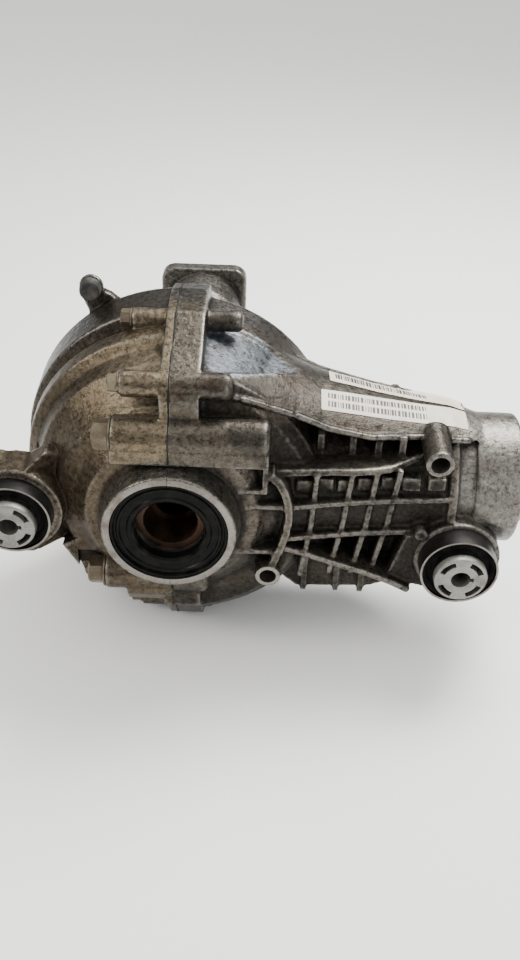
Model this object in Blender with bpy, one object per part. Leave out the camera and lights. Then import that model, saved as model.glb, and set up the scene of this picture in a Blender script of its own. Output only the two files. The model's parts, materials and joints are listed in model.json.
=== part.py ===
"""Differential gear assembly: split aluminium casing, spiral bevel drive, differential and mounts.

Frame: the origin is where the axle axis (Y) crosses the pinion axis (X). The pinion nose points
along +X, the bare output bore opens towards -Y, the axle tube runs along +Y, and Z is up. At the end
the whole model is lifted and shifted so that it stands on the ground, centred over the origin.
All sizes below are in millimetres; the meshes are made in metres.
"""

import math

import bmesh
import bpy
from mathutils import Vector

for old in list(bpy.data.objects):
    bpy.data.objects.remove(old, do_unlink=True)

MM = 0.001
GAP = 0.3  # clearance left between touching pieces
SPLIT = 0.15  # half the parting gap between carrier and cover

# Driving sizes of the casing.
BORE_FACE_Y = -75.0
BORE_RING_R = 41.2
SEAL_SEAT_R = 36.8
CUP_R = 33.0
DRUM_R = 101.0
COVER_DRUM_R = 105.5
DRUM_FAR_Y = 50.0
HUB_FAR_Y = 84.0
NOSE_R = 43.0
NOSE_END_X = 222.0
TUBE_END_Y = 247.0
TUBE_R = 27.0
TUBE_COLLAR_R = 31.5
TUBE_BORE_R = 21.0
TUBE_FLANGE_HALF = 36.0
TUBE_HOLE_DEPTH = 9.0
TUBE_HOLE_AT = 26.0  # distance of each hole of the end plate from the tube's axis, along X and along Z
CARRIER_FLANGE = 18.0
COVER_FLANGE = 6.0
BLANK_SIDE = 300.0  # reach of the blocks that cut a whole side away

# Driving sizes of the gears.
RING_TEETH = 41
PINION_TEETH = 11
RING_PITCH_R = 84.0
SIDE_TEETH = 16
SPIDER_TEETH = 10
SIDE_PITCH_R = 28.8
PRESSURE_DEG = 20.0
SIDE_BORE_R = 13.0
SIDE_HUB_R = 17.0
CROSS_PIN_R = 8.0
JOURNAL_R = 21.7
HEAD_JOURNAL_R = 17.0
TAIL_JOURNAL_R = 14.0
SPLINE_R = 12.0
THREAD_R = 9.5
OUTPUT_SHAFT_R = 14.0
RING_BOLTS = 6
RING_BOLT_R = 4.0
RING_BOLT_CIRCLE_R = 70.0

# Screws of the parting flange, as (y, z, shank radius, boss radius, seat x, boss end x).
COVER_BOLTS = (
    (12.0, 102.0, 4.0, 6.6, -28.0, 41.0),
    (-45.0, 88.5, 4.0, 8.2, -29.0, 37.0),
    (-55.0, 59.0, 6.0, 12.0, -34.0, 61.0),
    (-52.0, -50.0, 6.0, 12.0, -44.0, 24.0),
    (-20.0, -99.0, 4.0, 8.0, -26.0, 26.0),
    (40.0, -104.0, 4.0, 8.0, -26.0, 26.0),
    (62.0, -74.0, 4.0, 9.0, -26.0, 26.0),
    (62.0, 74.0, 4.0, 9.0, -26.0, 26.0),
)

# Heads of those screws, by shank radius, as (across flats, height, collar radius).
COVER_BOLT_HEADS = {4.0: (10.0, 7.5, 6.4), 6.0: (17.0, 11.5, 11.2)}
SPOT_FACE_R = {4.0: 8.0, 6.0: 12.5}

# Bushes that hang the casing on the vehicle, as (x, z) of their axes, which run along Y.
BUSH_FACE_Y = -63.0
FRONT_BUSH = (184.5, -32.0)
FRONT_BUSH_END = -38.0
REAR_BUSH = (-100.0, -3.0)
REAR_BUSH_END = -29.0
BUSH_R = 25.0
BUSH_SLEEVE = 1.5
BUSH_CORE_R = 9.0
BUSH_HOLE_R = 6.2
FRONT_EYE_FACE_Y = -50.0
REAR_EYE_FACE_Y = -53.0
EYE_WALL = 3.0
REAR_EYE_WALL = 6.0

# Small features: plugs in the far face of the cover as (x, z), the breather's knob, a lug and a sleeve.
FILL_PLUG = (-72.0, 22.0)
DRAIN_PLUG = (-58.0, -55.0)
PLUG_SEAT_Y = 80.0
PLUG_R = 9.0
PLUG_BOSS_R = 14.0
KNOB = (-60.5, 103.5)
KNOB_NEAR_Y = 50.0
LUG = (62.0, -42.0)
SLEEVE = (164.0, 43.0)


# ---------------------------------------------------------------- materials

def material(name, colour, metallic, roughness):
    made = bpy.data.materials.new(name)
    made.use_nodes = True
    shader = made.node_tree.nodes["Principled BSDF"]
    shader.inputs["Base Color"].default_value = (*colour, 1.0)
    shader.inputs["Metallic"].default_value = metallic
    shader.inputs["Roughness"].default_value = roughness
    return made


CAST_GREY = material("cast_grey", (0.42, 0.42, 0.42), 0.85, 0.5)
CAST_TAN = material("cast_tan", (0.36, 0.32, 0.27), 0.8, 0.6)
STEEL = material("steel", (0.55, 0.55, 0.54), 1.0, 0.3)
GEAR_STEEL = material("gear_steel", (0.32, 0.32, 0.33), 1.0, 0.28)
ZINC = material("zinc", (0.66, 0.62, 0.5), 0.9, 0.4)
RUBBER = material("rubber", (0.02, 0.02, 0.02), 0.0, 0.5)
BUSH_ALLOY = material("bush_alloy", (0.55, 0.55, 0.5), 0.6, 0.45)
BRONZE = material("bronze", (0.55, 0.38, 0.18), 1.0, 0.35)
BLACK_CAP = material("black_cap", (0.06, 0.06, 0.06), 0.1, 0.5)


# ---------------------------------------------------------------- mesh tools

def place(axis, along, u, v):
    """A point from its distance along an axis and its two cross coordinates, in metres."""
    if axis == "X":
        return Vector((along, u, v)) * MM
    if axis == "Y":
        return Vector((u, along, v)) * MM
    return Vector((u, v, along)) * MM


def finish_mesh(name, bm, paint=None):
    bmesh.ops.recalc_face_normals(bm, faces=bm.faces)
    mesh = bpy.data.meshes.new(name)
    bm.to_mesh(mesh)
    bm.free()
    made = bpy.data.objects.new(name, mesh)
    bpy.context.scene.collection.objects.link(made)
    if paint:
        mesh.materials.append(paint)
    return made


def lofted(name, rings, closed_loop=False, paint=None):
    """Skins between rings of points; the ends are capped unless the rings close into a loop."""
    bm = bmesh.new()
    rows = [[bm.verts.new(point) for point in ring] for ring in rings]
    pairs = list(zip(rows, rows[1:]))
    if closed_loop:
        pairs.append((rows[-1], rows[0]))
    for first, second in pairs:
        count = len(first)
        for i in range(count):
            j = (i + 1) % count
            corners = []
            for vert in (first[i], first[j], second[j], second[i]):
                if vert not in corners:
                    corners.append(vert)
            bm.faces.new(corners)
    if not closed_loop:
        bm.faces.new(rows[0])
        bm.faces.new(rows[-1])
    return finish_mesh(name, bm, paint)


def turned(name, profile, axis, centre=(0.0, 0.0), segments=48, paint=None):
    """A solid turned from (along, radius) points. A radius of 0 at both ends closes it on its axis."""
    solid = profile[0][1] == 0.0
    inner = profile[1:-1] if solid else profile
    rings = []
    for along, radius in inner:
        ring = []
        for i in range(segments):
            angle = 2 * math.pi * (i + 0.5) / segments
            u = centre[0] + radius * math.cos(angle)
            v = centre[1] + radius * math.sin(angle)
            ring.append(place(axis, along, u, v))
        rings.append(ring)
    return lofted(name, rings, closed_loop=not solid, paint=paint)


def rod(name, axis, low, high, radius, centre=(0.0, 0.0), segments=24, paint=None):
    profile = [(low, 0.0), (low, radius), (high, radius), (high, 0.0)]
    return turned(name, profile, axis, centre, segments, paint)


def prism(name, axis, outline, low, high, paint=None):
    """An outline of cross coordinates drawn out along an axis."""
    rings = [[place(axis, along, u, v) for u, v in outline] for along in (low, high)]
    return lofted(name, rings, paint=paint)


def box(name, low, high, paint=None):
    outline = [(low[1], low[2]), (high[1], low[2]), (high[1], high[2]), (low[1], high[2])]
    return prism(name, "X", outline, low[0], high[0], paint)


def strip(points, thickness):
    """The closed outline of a bent strip of constant thickness along a polyline."""
    half = thickness / 2
    left, right = [], []
    for i, point in enumerate(points):
        before = Vector(points[max(i - 1, 0)])
        after = Vector(points[min(i + 1, len(points) - 1)])
        direction = (after - before).normalized()
        side = Vector((-direction.y, direction.x)) * half
        left.append(tuple(Vector(point) + side))
        right.append(tuple(Vector(point) - side))
    return left + right[::-1]


def rounded_box(half, corner, count=4):
    """A square outline with round corners, centred on the axis."""
    outline = []
    for quarter in range(4):
        turn = quarter * math.pi / 2
        for i in range(count + 1):
            angle = turn + (math.pi / 2) * i / count
            sx = 1 if quarter in (0, 3) else -1
            sy = 1 if quarter in (0, 1) else -1
            u = sx * (half - corner) + corner * math.cos(angle)
            v = sy * (half - corner) + corner * math.sin(angle)
            outline.append((u, v))
    return outline


def combine(target, tools, operation):
    """Applies Boolean tools one after another and removes them."""
    for tool in tools:
        modifier = target.modifiers.new(operation.lower(), "BOOLEAN")
        modifier.operation = operation
        modifier.solver = "EXACT"
        modifier.object = tool
    graph = bpy.context.evaluated_depsgraph_get()
    mesh = bpy.data.meshes.new_from_object(target.evaluated_get(graph))
    target.modifiers.clear()
    target.data = mesh
    for tool in tools:
        bpy.data.objects.remove(tool, do_unlink=True)
    return target


def join(target, tools):
    return combine(target, tools, "UNION")


def cut(target, tools):
    return combine(target, tools, "DIFFERENCE")


def smooth(target, degrees=35):
    target.data.shade_smooth()
    target.data.set_sharp_from_angle(angle=math.radians(degrees))
    return target


def mirrored(points):
    """The same outline on the other side of the pinion axis: y changes sign."""
    return [(x, -y) for x, y in points]


# ---------------------------------------------------------------- casing

# Outer shape of the drum, as (y, radius): the far side, then down the stepped near side.
COVER_NEAR = [
    (17.0, 96.5), (11.0, 96.5), (7.0, 101.0), (-5.0, 100.0), (-10.0, 93.0), (-22.0, 90.0),
    (-29.0, 83.0), (-38.0, 76.0), (-43.0, 73.0), (-49.0, 62.0), (-57.0, 54.0), (-59.0, 44.5),
    (BORE_FACE_Y + 0.6, BORE_RING_R + 0.6), (BORE_FACE_Y, BORE_RING_R), (BORE_FACE_Y, 0.0),
]
CARRIER_NEAR = [
    (17.0, 98.0), (-38.0, 95.0), (-44.0, 88.0), (-47.0, 66.0), (-57.0, 54.0), (-59.0, 44.5),
    (BORE_FACE_Y + 0.6, BORE_RING_R + 0.6), (BORE_FACE_Y, BORE_RING_R), (BORE_FACE_Y, 0.0),
]
CAVITY = [
    (BORE_FACE_Y - 1, 0.0), (BORE_FACE_Y - 1, SEAL_SEAT_R), (-64.0, SEAL_SEAT_R), (-64.0, 30.0),
    (-61.5, 30.0), (-61.5, CUP_R + GAP), (-41.0, CUP_R + GAP), (-35.0, 60.0), (-22.0, 81.0),
    (0.0, 90.0), (52.0, 92.0), (61.0, 80.0), (64.0, CUP_R + GAP), (72.0, CUP_R + GAP), (72.0, 30.0),
    (HUB_FAR_Y + 1, 30.0), (HUB_FAR_Y + 1, 0.0),
]
# The parting flange seen along X, as (y, z), from the top round the far side to the bottom.
FLANGE_OUTLINE = [
    (34.0, 114.0), (2.0, 113.0), (-22.0, 102.0), (-48.0, 96.0), (-56.0, 84.0), (-58.0, 46.0),
    (-60.0, 20.0), (-60.0, -20.0), (-60.0, -46.0), (-60.0, -72.0), (-48.0, -82.0),
    (-30.0, -107.0), (0.0, -110.0), (46.0, -114.0), (66.0, -88.0), (74.0, -66.0), (74.0, 66.0),
    (66.0, 90.0), (52.0, 108.0),
]


def casing_half(name, radius, near, side, flange_width, paint):
    """The drum and parting flange on one side of the parting plane, before its details."""
    far = [(HUB_FAR_Y, 0.0), (HUB_FAR_Y, 48.0), (76.0, 52.0), (68.0, 83.0), (57.0, radius - 3.0),
           (DRUM_FAR_Y, radius), (20.0, radius - 1.0)]
    half = turned(name, far + near, "Y", segments=36, paint=paint)
    flange = prism("flange", "X", FLANGE_OUTLINE, side * -3.0, side * flange_width)
    ends = sorted((side * -BLANK_SIDE, side * SPLIT))
    waste = box("waste", (ends[0], -BLANK_SIDE, -BLANK_SIDE), (ends[1], BLANK_SIDE, BLANK_SIDE))
    join(half, [flange])
    return cut(half, [waste])


def bolt_bosses(side):
    """A round boss for each screw of the flange, on one side of the parting plane."""
    bosses = []
    for y, z, _, radius, seat, end in COVER_BOLTS:
        reach = seat if side < 0 else end
        low, high = sorted((side * 1.0, reach))
        bosses.append(rod("boss", "X", low, high, radius, (y, z), 10))
    return bosses


def bolt_holes(side):
    holes = []
    for y, z, shank, _, seat, end in COVER_BOLTS:
        low, high = (seat - 5.0, 5.0) if side < 0 else (-5.0, end - 5.0)
        holes.append(rod("hole", "X", low, high, shank + GAP, (y, z), 10))
    return holes


def eye(place_xz, wall, low, high):
    return rod("eye", "Y", low, high, BUSH_R + wall, place_xz, 28)


def eye_bore(place_xz, end):
    return rod("bore", "Y", -150, end, BUSH_R + GAP, place_xz, 28)


# Edge of the saddle-shaped shield over the pinion housing, as (x, z), seen from the bore side.
SHIELD_EDGE = [(14, 92), (38, 81), (61, 71), (95, 55), (123, 47), (155, 45), (176, 43), (196, 39)]
# Radius of the shield about the pinion axis, as (x, radius).
SHIELD = [
    (12.0, 0.0), (12.0, 106.0), (20.0, 103.0), (38.0, 93.0), (61.0, 82.0), (76.0, 74.5),
    (92.0, 68.0), (106.0, 64.5), (128.0, 59.0), (155.0, 53.5), (176.0, 50.0), (196.0, 43.4),
    (196.0, 0.0),
]
CORE = [
    (40.0, 0.0), (40.0, 56.0), (75.0, 51.0), (100.0, 48.0), (128.0, 44.5), (155.0, 42.0),
    (174.0, 42.0), (175.0, 45.5), (180.0, 45.5), (181.0, 40.5), (191.0, 40.5), (192.5, NOSE_R + 0.6),
    (207.0, NOSE_R + 0.6), (208.0, NOSE_R), (NOSE_END_X - 1.5, NOSE_R), (NOSE_END_X, NOSE_R - 1.5),
    (NOSE_END_X, 0.0),
]


def shield():
    """The saddle: a funnel about the pinion axis, kept above its edge and open over the drum's roof."""
    funnel = turned("shield", SHIELD, "X", segments=32)
    below = [(-20.0, SHIELD_EDGE[0][1])] + SHIELD_EDGE + [(240.0, 39.0), (240.0, -150.0)]
    below.append((-20.0, -150.0))
    under = prism("under", "Y", below, -200, 200)
    # Above the drum's roof the funnel is cut back to a ramp that runs down to the drum's skin.
    recess = prism("recess", "Z", [(-20, -64), (20, -41), (79, 0), (74, 48), (-20, 64)], 30, 200)
    ramp = [(-30, 30), (50, 30), (56, 78.6), (66, 76.5), (76, 74.3), (82, 73.2), (82, 210), (-30, 210)]
    combine(recess, [prism("ramp", "Y", ramp, -90, 90)], "INTERSECT")
    return cut(funnel, [under, recess])


def side_ribs(flip):
    """Ribs of one side of the pinion housing. flip is 1 on the bore side and -1 on the far side."""

    def outline(points):
        return points if flip > 0 else mirrored(points)

    def across(low, high):
        return tuple(sorted((flip * low, flip * high)))

    shelf = [(61, -10), (61, -54), (110, -50), (136, -45), (157, -29), (157, -10)]
    upper = [(36, -20), (36, -59), (74, -59), (121, -50), (150, -47), (177, -44.5), (177, -20)]
    lower = [(72, -20), (72, -58), (121, -49), (150, -46), (196, -41), (196, -20)]
    short = [(36, -20), (36, -59), (70, -59), (70, -20)]
    ribs = [
        prism("shelf", "Z", outline(shelf), 31, 35.5),
        prism("lower", "Z", outline(lower), -16.8, -13),
        prism("arc", "Y", strip([(61, 36), (70, 24), (73.5, 8), (72, -8), (62, -41)], 5.0),
              *across(-60.5, -28)),
    ]
    rings = [(90, 83, -52.5), (112, 102, -49.5), (127.5, 117, -47.5), (142, 130, -45.5)]
    if flip > 0:
        ribs += [
            prism("upper", "Z", outline(upper), 9, 12.6),
            prism("short", "Z", outline(short), -27, -23.2),
            prism("slant", "Y", strip([(66, -24), (100, -35), (156, -58)], 4.2), *across(-54.5, -15)),
        ]
    else:
        rings = rings[::2]
    for top, bottom, reach in rings:
        ribs.append(prism("cross", "Y", strip([(top, 33), (bottom, -50)], 3.6), *across(reach, -20)))
    return ribs


def carrier():
    body = casing_half("carrier_housing", DRUM_R, CARRIER_NEAR, 1, CARRIER_FLANGE, CAST_GREY)
    parts = [turned("core", CORE, "X", segments=28), shield()]
    parts += bolt_bosses(1)
    parts += [
        prism("facet", "Y", [(2, 45.5), (60, 45.5), (60, 55), (2, 55)], -67.2, -52),
        box("block", (41, -59.5, 21), (60, -28, 46)),
        box("web", (50, -16, 20), (158, 16, 50)),
        prism("belly", "Y", [(60, -30), (66, -62), (82, -76), (132, -74), (160, -62), (176, -40), (176, -20)],
              -32, 32),
    ]
    for x in (92, 112, 128, 143):
        parts.append(box("post", (x - 2.2, -33, 25), (x + 2.2, 33, 50)))
    for x in (87, 109, 126):
        parts.append(box("keel", (x - 2, -34, -78), (x + 2, 34, -40)))
    parts += side_ribs(1) + side_ribs(-1)
    parts += [
        rod("lug", "Y", -63, -25, 8.4, LUG, 14),
        rod("lug", "Y", 25, 63, 8.4, LUG, 14),
        rod("sleeve", "Y", -52, -20, 9.0, SLEEVE, 14),
        rod("peg", "Y", -51, -30, 4.0, (159, -13), 10),
        eye(FRONT_BUSH, EYE_WALL, FRONT_EYE_FACE_Y, FRONT_BUSH_END),
        prism("arm", "Y", [(140, -52), (168, -59), (208, -50), (208, -18), (196, -10), (150, -16)],
              FRONT_EYE_FACE_Y + 2, -20),
    ]
    join(body, parts)
    # The bore that holds the pinion, from the gear side out to the mouth of the nose.
    pinion_bore = [
        (40.0, 0.0), (40.0, 37.5), (92.0, 37.5), (92.0, 36.3), (110.5, 36.3), (110.5, 30.0),
        (160.0, 28.0), (160.0, 25.5), (163.0, 25.5), (163.0, 30.3), (182.0, 30.3), (183.0, 34.3),
        (NOSE_END_X + 2, 34.3), (NOSE_END_X + 2, 0.0),
    ]
    cuts = [
        turned("cavity", CAVITY, "Y", segments=28),
        turned("pinion_bore", pinion_bore, "X", segments=24),
        eye_bore(FRONT_BUSH, FRONT_BUSH_END + 1.0),
        rod("lug_hole", "Y", -80, -45, 5.4, LUG, 10),
        rod("lug_hole", "Y", 45, 80, 5.4, LUG, 10),
        rod("sleeve_hole", "Y", -80, -28, 5.8, SLEEVE, 10),
    ]
    cuts += bolt_holes(1) + tube_bolt_holes(1)
    return smooth(cut(body, cuts))


def cover():
    body = casing_half("cover_housing", COVER_DRUM_R, COVER_NEAR, -1, COVER_FLANGE, CAST_TAN)
    rim = [(-96, 24), (-110, 28), (-128, 20), (-131, -8), (-121, -28), (-108, -36), (-70, -38), (-60, -28),
           (-60, 22), (-80, 34)]
    knob_neck = [(-46, 78), (-62, 82), (-68, 98), (-60, 104), (-48, 98), (-36, 88)]
    arm = prism("arm", "Y", rim, REAR_EYE_FACE_Y, REAR_BUSH_END)
    slant = [(-106, -68), (-72, -34), (-50, -34), (-50, -90), (-106, -90)]
    cut(arm, [prism("slant", "Z", slant, -60, 60)])
    parts = bolt_bosses(-1) + [
        prism("facet", "Y", [(-2, 45.5), (-35, 45.5), (-35, 55), (-2, 55)], -67.2, -52),
        arm,
        eye(REAR_BUSH, REAR_EYE_WALL, REAR_EYE_FACE_Y, REAR_BUSH_END),
        rod("knob", "Y", KNOB_NEAR_Y, 54, 8.0, KNOB, 14),
        prism("neck", "Y", knob_neck, KNOB_NEAR_Y + 1, 58),
        rod("fill_boss", "Y", 60, PLUG_SEAT_Y, PLUG_BOSS_R, FILL_PLUG, 16),
        rod("drain_boss", "Y", 55, PLUG_SEAT_Y, PLUG_BOSS_R, DRAIN_PLUG, 16),
        prism("web", "Y", [(-60, -28), (-74, -36), (-58, -64), (-44, -60)], -46, -20),
        prism("pad", "X", [(-61, -46), (-63, -61), (-56, -71), (-40, -75), (-40, -46)], -30, -0.5),
    ]
    join(body, parts)
    cuts = [
        turned("cavity", CAVITY, "Y", segments=28),
        eye_bore(REAR_BUSH, REAR_BUSH_END + 20.0),
        rod("fill_hole", "Y", 50, PLUG_SEAT_Y + 5, PLUG_R + GAP, FILL_PLUG, 16),
        rod("drain_hole", "Y", 50, PLUG_SEAT_Y + 5, PLUG_R + GAP, DRAIN_PLUG, 16),
    ]
    for y, z, shank, _, seat, _ in COVER_BOLTS:
        cuts.append(rod("spot_face", "X", seat - 20, seat, SPOT_FACE_R[shank], (y, z), 14))
    cuts += bolt_holes(-1) + tube_bolt_holes(-1)
    return smooth(cut(body, cuts))


# ---------------------------------------------------------------- axle tube

TUBE_BOLT_R = 40.0
TUBE_BOLT_DEG = (60.0, 180.0, 300.0)


def tube_bolt_places():
    """Places of the screws that hold the tube, as (x, z)."""
    for degrees in TUBE_BOLT_DEG:
        angle = math.radians(degrees)
        yield TUBE_BOLT_R * math.cos(angle), TUBE_BOLT_R * math.sin(angle)


def tube_bolt_holes(side):
    places = [place_xz for place_xz in tube_bolt_places() if place_xz[0] * side > 0]
    return [rod("hole", "Y", HUB_FAR_Y - 9, HUB_FAR_Y + 5, 3.0 + GAP, at, 10) for at in places]


def axle_tube():
    near = HUB_FAR_Y + GAP
    profile = [
        (near, 48.0), (near + 9, 48.0), (near + 12, 34.0), (near + 22, TUBE_R + 1), (190.0, TUBE_R),
        (205.0, TUBE_COLLAR_R), (TUBE_END_Y - 2, TUBE_COLLAR_R), (TUBE_END_Y - 2, 26.0),
        (TUBE_END_Y - 12, 26.0), (TUBE_END_Y - 12, TUBE_BORE_R), (near, TUBE_BORE_R),
    ]
    body = turned("axle_tube", profile, "Y", segments=24, paint=CAST_GREY)
    plate = prism("plate", "Y", rounded_box(TUBE_FLANGE_HALF, 11.0, 3), TUBE_END_Y - 12, TUBE_END_Y)
    ribs = [
        box("rib", (-2.5, near + 4, 20), (2.5, TUBE_END_Y - 9, 31)),
        box("rib", (-2.5, near + 4, -31), (2.5, TUBE_END_Y - 9, -24)),
    ]
    join(body, [plate] + ribs)
    bore = [(near - 1, 0.0), (near - 1, TUBE_BORE_R), (TUBE_END_Y - 12, TUBE_BORE_R),
            (TUBE_END_Y - 12, 26.0), (TUBE_END_Y + 1, 26.0), (TUBE_END_Y + 1, 0.0)]
    holes = [rod("hole", "Y", near - 5, near + 15, 3.0 + GAP, at, 10) for at in tube_bolt_places()]
    spots = [rod("spot", "Y", near + 9.2, near + 16, 7.2, at, 12) for at in tube_bolt_places()]
    for u in (-TUBE_HOLE_AT, TUBE_HOLE_AT):
        for v in (-TUBE_HOLE_AT, TUBE_HOLE_AT):
            holes.append(rod("hole", "Y", TUBE_END_Y - TUBE_HOLE_DEPTH, TUBE_END_Y + 5, 4.5, (u, v), 10))
    return smooth(cut(body, [turned("bore", bore, "Y", segments=24)] + holes + spots))


# ---------------------------------------------------------------- fasteners

def hexagon(across_flats):
    radius = across_flats / 2 / math.cos(math.pi / 6)
    return [(radius * math.cos(math.pi / 3 * i), radius * math.sin(math.pi / 3 * i)) for i in range(6)]


def hex_bolt(name, axis, centre, seat, tip, shank, across_flats, head, collar, paint):
    """A flanged hexagon screw. seat is where its collar bears and tip is its far end."""
    way = 1.0 if seat > tip else -1.0
    face = seat + way * 0.1
    profile = [(tip, 0.0), (tip, shank), (face, shank), (face, collar), (face + way * 1.6, collar),
               (face + way * 1.6, 0.0)]
    body = turned(name, profile, axis, centre, 10, paint)
    outline = [(u + centre[0], v + centre[1]) for u, v in hexagon(across_flats)]
    low, high = sorted((face + way * 0.8, face + way * head))
    return smooth(join(body, [prism("head", axis, outline, low, high)]), 30)


def cover_bolts():
    for index, (y, z, shank, _, seat, end) in enumerate(COVER_BOLTS):
        across_flats, head, collar = COVER_BOLT_HEADS[shank]
        hex_bolt(f"cover_bolt_{index + 1}", "X", (y, z), seat, end - 8.0, shank, across_flats, head, collar,
                 ZINC)


def tube_bolts():
    seat = HUB_FAR_Y + GAP + 9.2
    for index, at in enumerate(tube_bolt_places()):
        hex_bolt(f"tube_bolt_{index + 1}", "Y", at, seat, HUB_FAR_Y - 6, 3.0, 8.0, 5.5, 5.2, ZINC)


def plug(name, at):
    """A plug with a hexagon socket, in a boss of the cover's far face."""
    seat = PLUG_SEAT_Y + GAP
    profile = [(seat - 8.3, 0.0), (seat - 8.3, PLUG_R), (seat, PLUG_R), (seat, 12.0), (seat + 2.7, 12.0),
               (seat + 3.2, 11.0), (seat + 3.2, 0.0)]
    body = turned(name, profile, "Y", at, 16, STEEL)
    socket = [(u + at[0], v + at[1]) for u, v in hexagon(8.0)]
    return smooth(cut(body, [prism("socket", "Y", socket, seat - 2.5, seat + 6)]))


# ---------------------------------------------------------------- seals, bushes and bearings

def ring_seal(name, axis, low, high, outer, lip, paint=RUBBER):
    """A shaft seal: a pressed case with a lip that leans towards the oil. low is the outside face."""
    way = 1.0 if high > low else -1.0
    profile = [
        (low, outer), (high, outer), (high, outer - 2.0), (low + way * 3.0, outer - 2.2),
        (low + way * 3.0, lip + 5.0), (high - way * 1.0, lip), (low + way * 1.0, lip + 4.0),
        (low + way * 1.0, outer - 3.0),
    ]
    return smooth(turned(name, profile, axis, segments=24, paint=paint))


def bush(prefix, at, far):
    """A rubber bush: pressed sleeve, bonded rubber and a drilled core with a round end plate."""
    near = BUSH_FACE_Y
    inner = BUSH_R - BUSH_SLEEVE
    sleeve = [(near - 0.6, BUSH_R), (far + 0.6, BUSH_R), (far + 0.6, inner), (near - 0.6, inner)]
    smooth(turned(prefix + "_sleeve", sleeve, "Y", at, 24, STEEL))
    outer = inner - GAP
    core_r = BUSH_CORE_R + GAP
    rubber = [
        (near + 2.5, outer), (far - 2.5, outer), (far - 5.0, core_r), (near + 1.0, core_r),
        (near + 7.0, 18.0),
    ]
    smooth(turned(prefix + "_rubber", rubber, "Y", at, 24, RUBBER))
    plate_face = near - 7.5
    core = [
        (plate_face, BUSH_HOLE_R), (plate_face, 16.2), (plate_face + 0.8, 17.0), (plate_face + 5.0, 17.0),
        (plate_face + 5.0, BUSH_CORE_R), (far + 0.6, BUSH_CORE_R), (far + 0.6, BUSH_HOLE_R),
    ]
    smooth(turned(prefix + "_core", core, "Y", at, 20, BUSH_ALLOY))


ROLLER_GAP = 0.5


def tapered_bearing(prefix, axis, back, front, bore, outer, roller, count):
    """Cup, cone and roller set between two planes. The rollers lean outwards towards the back plane."""
    width = abs(front - back)
    way = 1.0 if front > back else -1.0
    middle = (bore + outer) / 2
    lean = math.radians(13.0)

    def axis_radius(depth):
        return middle + (width / 2 - depth) * math.tan(lean)

    thick = roller / math.cos(lean)
    cup = [(back, outer), (front, outer), (front, axis_radius(width) + thick + ROLLER_GAP),
           (back, axis_radius(0.0) + thick + ROLLER_GAP)]
    smooth(turned(prefix + "_cup", cup, axis, segments=24, paint=STEEL))
    cone_back, cone_front = back - way * 1.0, front + way * 0.5
    cone = [
        (cone_back, bore), (cone_back, axis_radius(-1.0) - thick - ROLLER_GAP),
        (cone_front, axis_radius(width + 0.5) - thick - ROLLER_GAP), (cone_front, bore),
    ]
    smooth(turned(prefix + "_cone", cone, axis, segments=24, paint=STEEL))
    margin = 1.6
    first, last = back + way * margin, front - way * margin
    cage = [
        (first, axis_radius(margin) + 0.7), (last, axis_radius(width - margin) + 0.7),
        (last, axis_radius(width - margin) - 0.7), (first, axis_radius(margin) - 0.7),
    ]
    ring = turned(prefix + "_rollers", cage, axis, segments=count, paint=GEAR_STEEL)
    rollers = []
    for i in range(count):
        angle = 2 * math.pi * i / count
        ends = []
        for depth in (margin + 1.0, width - margin - 1.0):
            centre = axis_radius(depth)
            along = back + way * depth
            points = []
            for j in range(5):
                turn = 2 * math.pi * j / 5
                radial = centre + roller * math.cos(turn)
                sideways = roller * math.sin(turn)
                u = radial * math.cos(angle) - sideways * math.sin(angle)
                v = radial * math.sin(angle) + sideways * math.cos(angle)
                points.append(place(axis, along, u, v))
            ends.append(points)
        rollers.append(lofted("roller", ends))
    smooth(join(ring, rollers))


# ---------------------------------------------------------------- gears

def involute(angle):
    return math.tan(angle) - angle


def tooth_half_angles(cone, pitch_r, heights, thickness, straight):
    """Half the angle a tooth fills at each height above its pitch line, on the developed back cone.

    straight teeth have flat flanks at the pressure angle, as on a rack; others are involutes.
    """
    pressure = math.radians(PRESSURE_DEG)
    virtual = pitch_r / math.cos(cone)
    base = virtual * math.cos(pressure)
    halves = []
    for height in heights:
        radius = virtual + height
        if straight:
            half = (thickness / 2 - height * math.tan(pressure)) / radius
        else:
            there = math.acos(min(1.0, base / max(radius, base)))
            half = thickness / 2 / virtual + involute(pressure) - involute(there)
        halves.append(half / math.cos(cone))
    return halves


def tooth_ring(axis, way, teeth, cone, distance, heights, halves, phase):
    """One closed zigzag of tooth points round a bevel gear at a distance from the cone's tip.

    heights run from root to tip; each tooth climbs one flank and comes down the other.
    """
    ring = []
    for tooth in range(teeth):
        centre = phase + 2 * math.pi * tooth / teeth
        flank = list(zip(heights, halves))
        steps = [(height, -half) for height, half in flank] + [(height, half) for height, half in flank[::-1]]
        for height, offset in steps:
            radius = distance * math.sin(cone) + height * math.cos(cone)
            along = way * (distance * math.cos(cone) - height * math.sin(cone))
            angle = centre + offset
            ring.append(place(axis, along, radius * math.cos(angle), radius * math.sin(angle)))
    return ring


def bevel_sections(axis, way, teeth, cone, outer, face, tip, root, thickness, straight, twist, phase, steps):
    """Rings of tooth points from the outer to the inner end of a bevel gear. Sizes are in modules."""
    sections = []
    for step in range(steps + 1):
        distance = outer - face * step / steps
        pitch_r = distance * math.sin(cone)
        module = 2 * pitch_r / teeth
        levels = 2 if straight else 3
        heights = [module * (-root + (root + tip) * i / (levels - 1)) for i in range(levels)]
        halves = tooth_half_angles(cone, pitch_r, heights, thickness(module), straight)
        turn = phase + twist * (outer - distance) / face / teeth
        sections.append(tooth_ring(axis, way, teeth, cone, distance, heights, halves, turn))
    return sections


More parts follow.
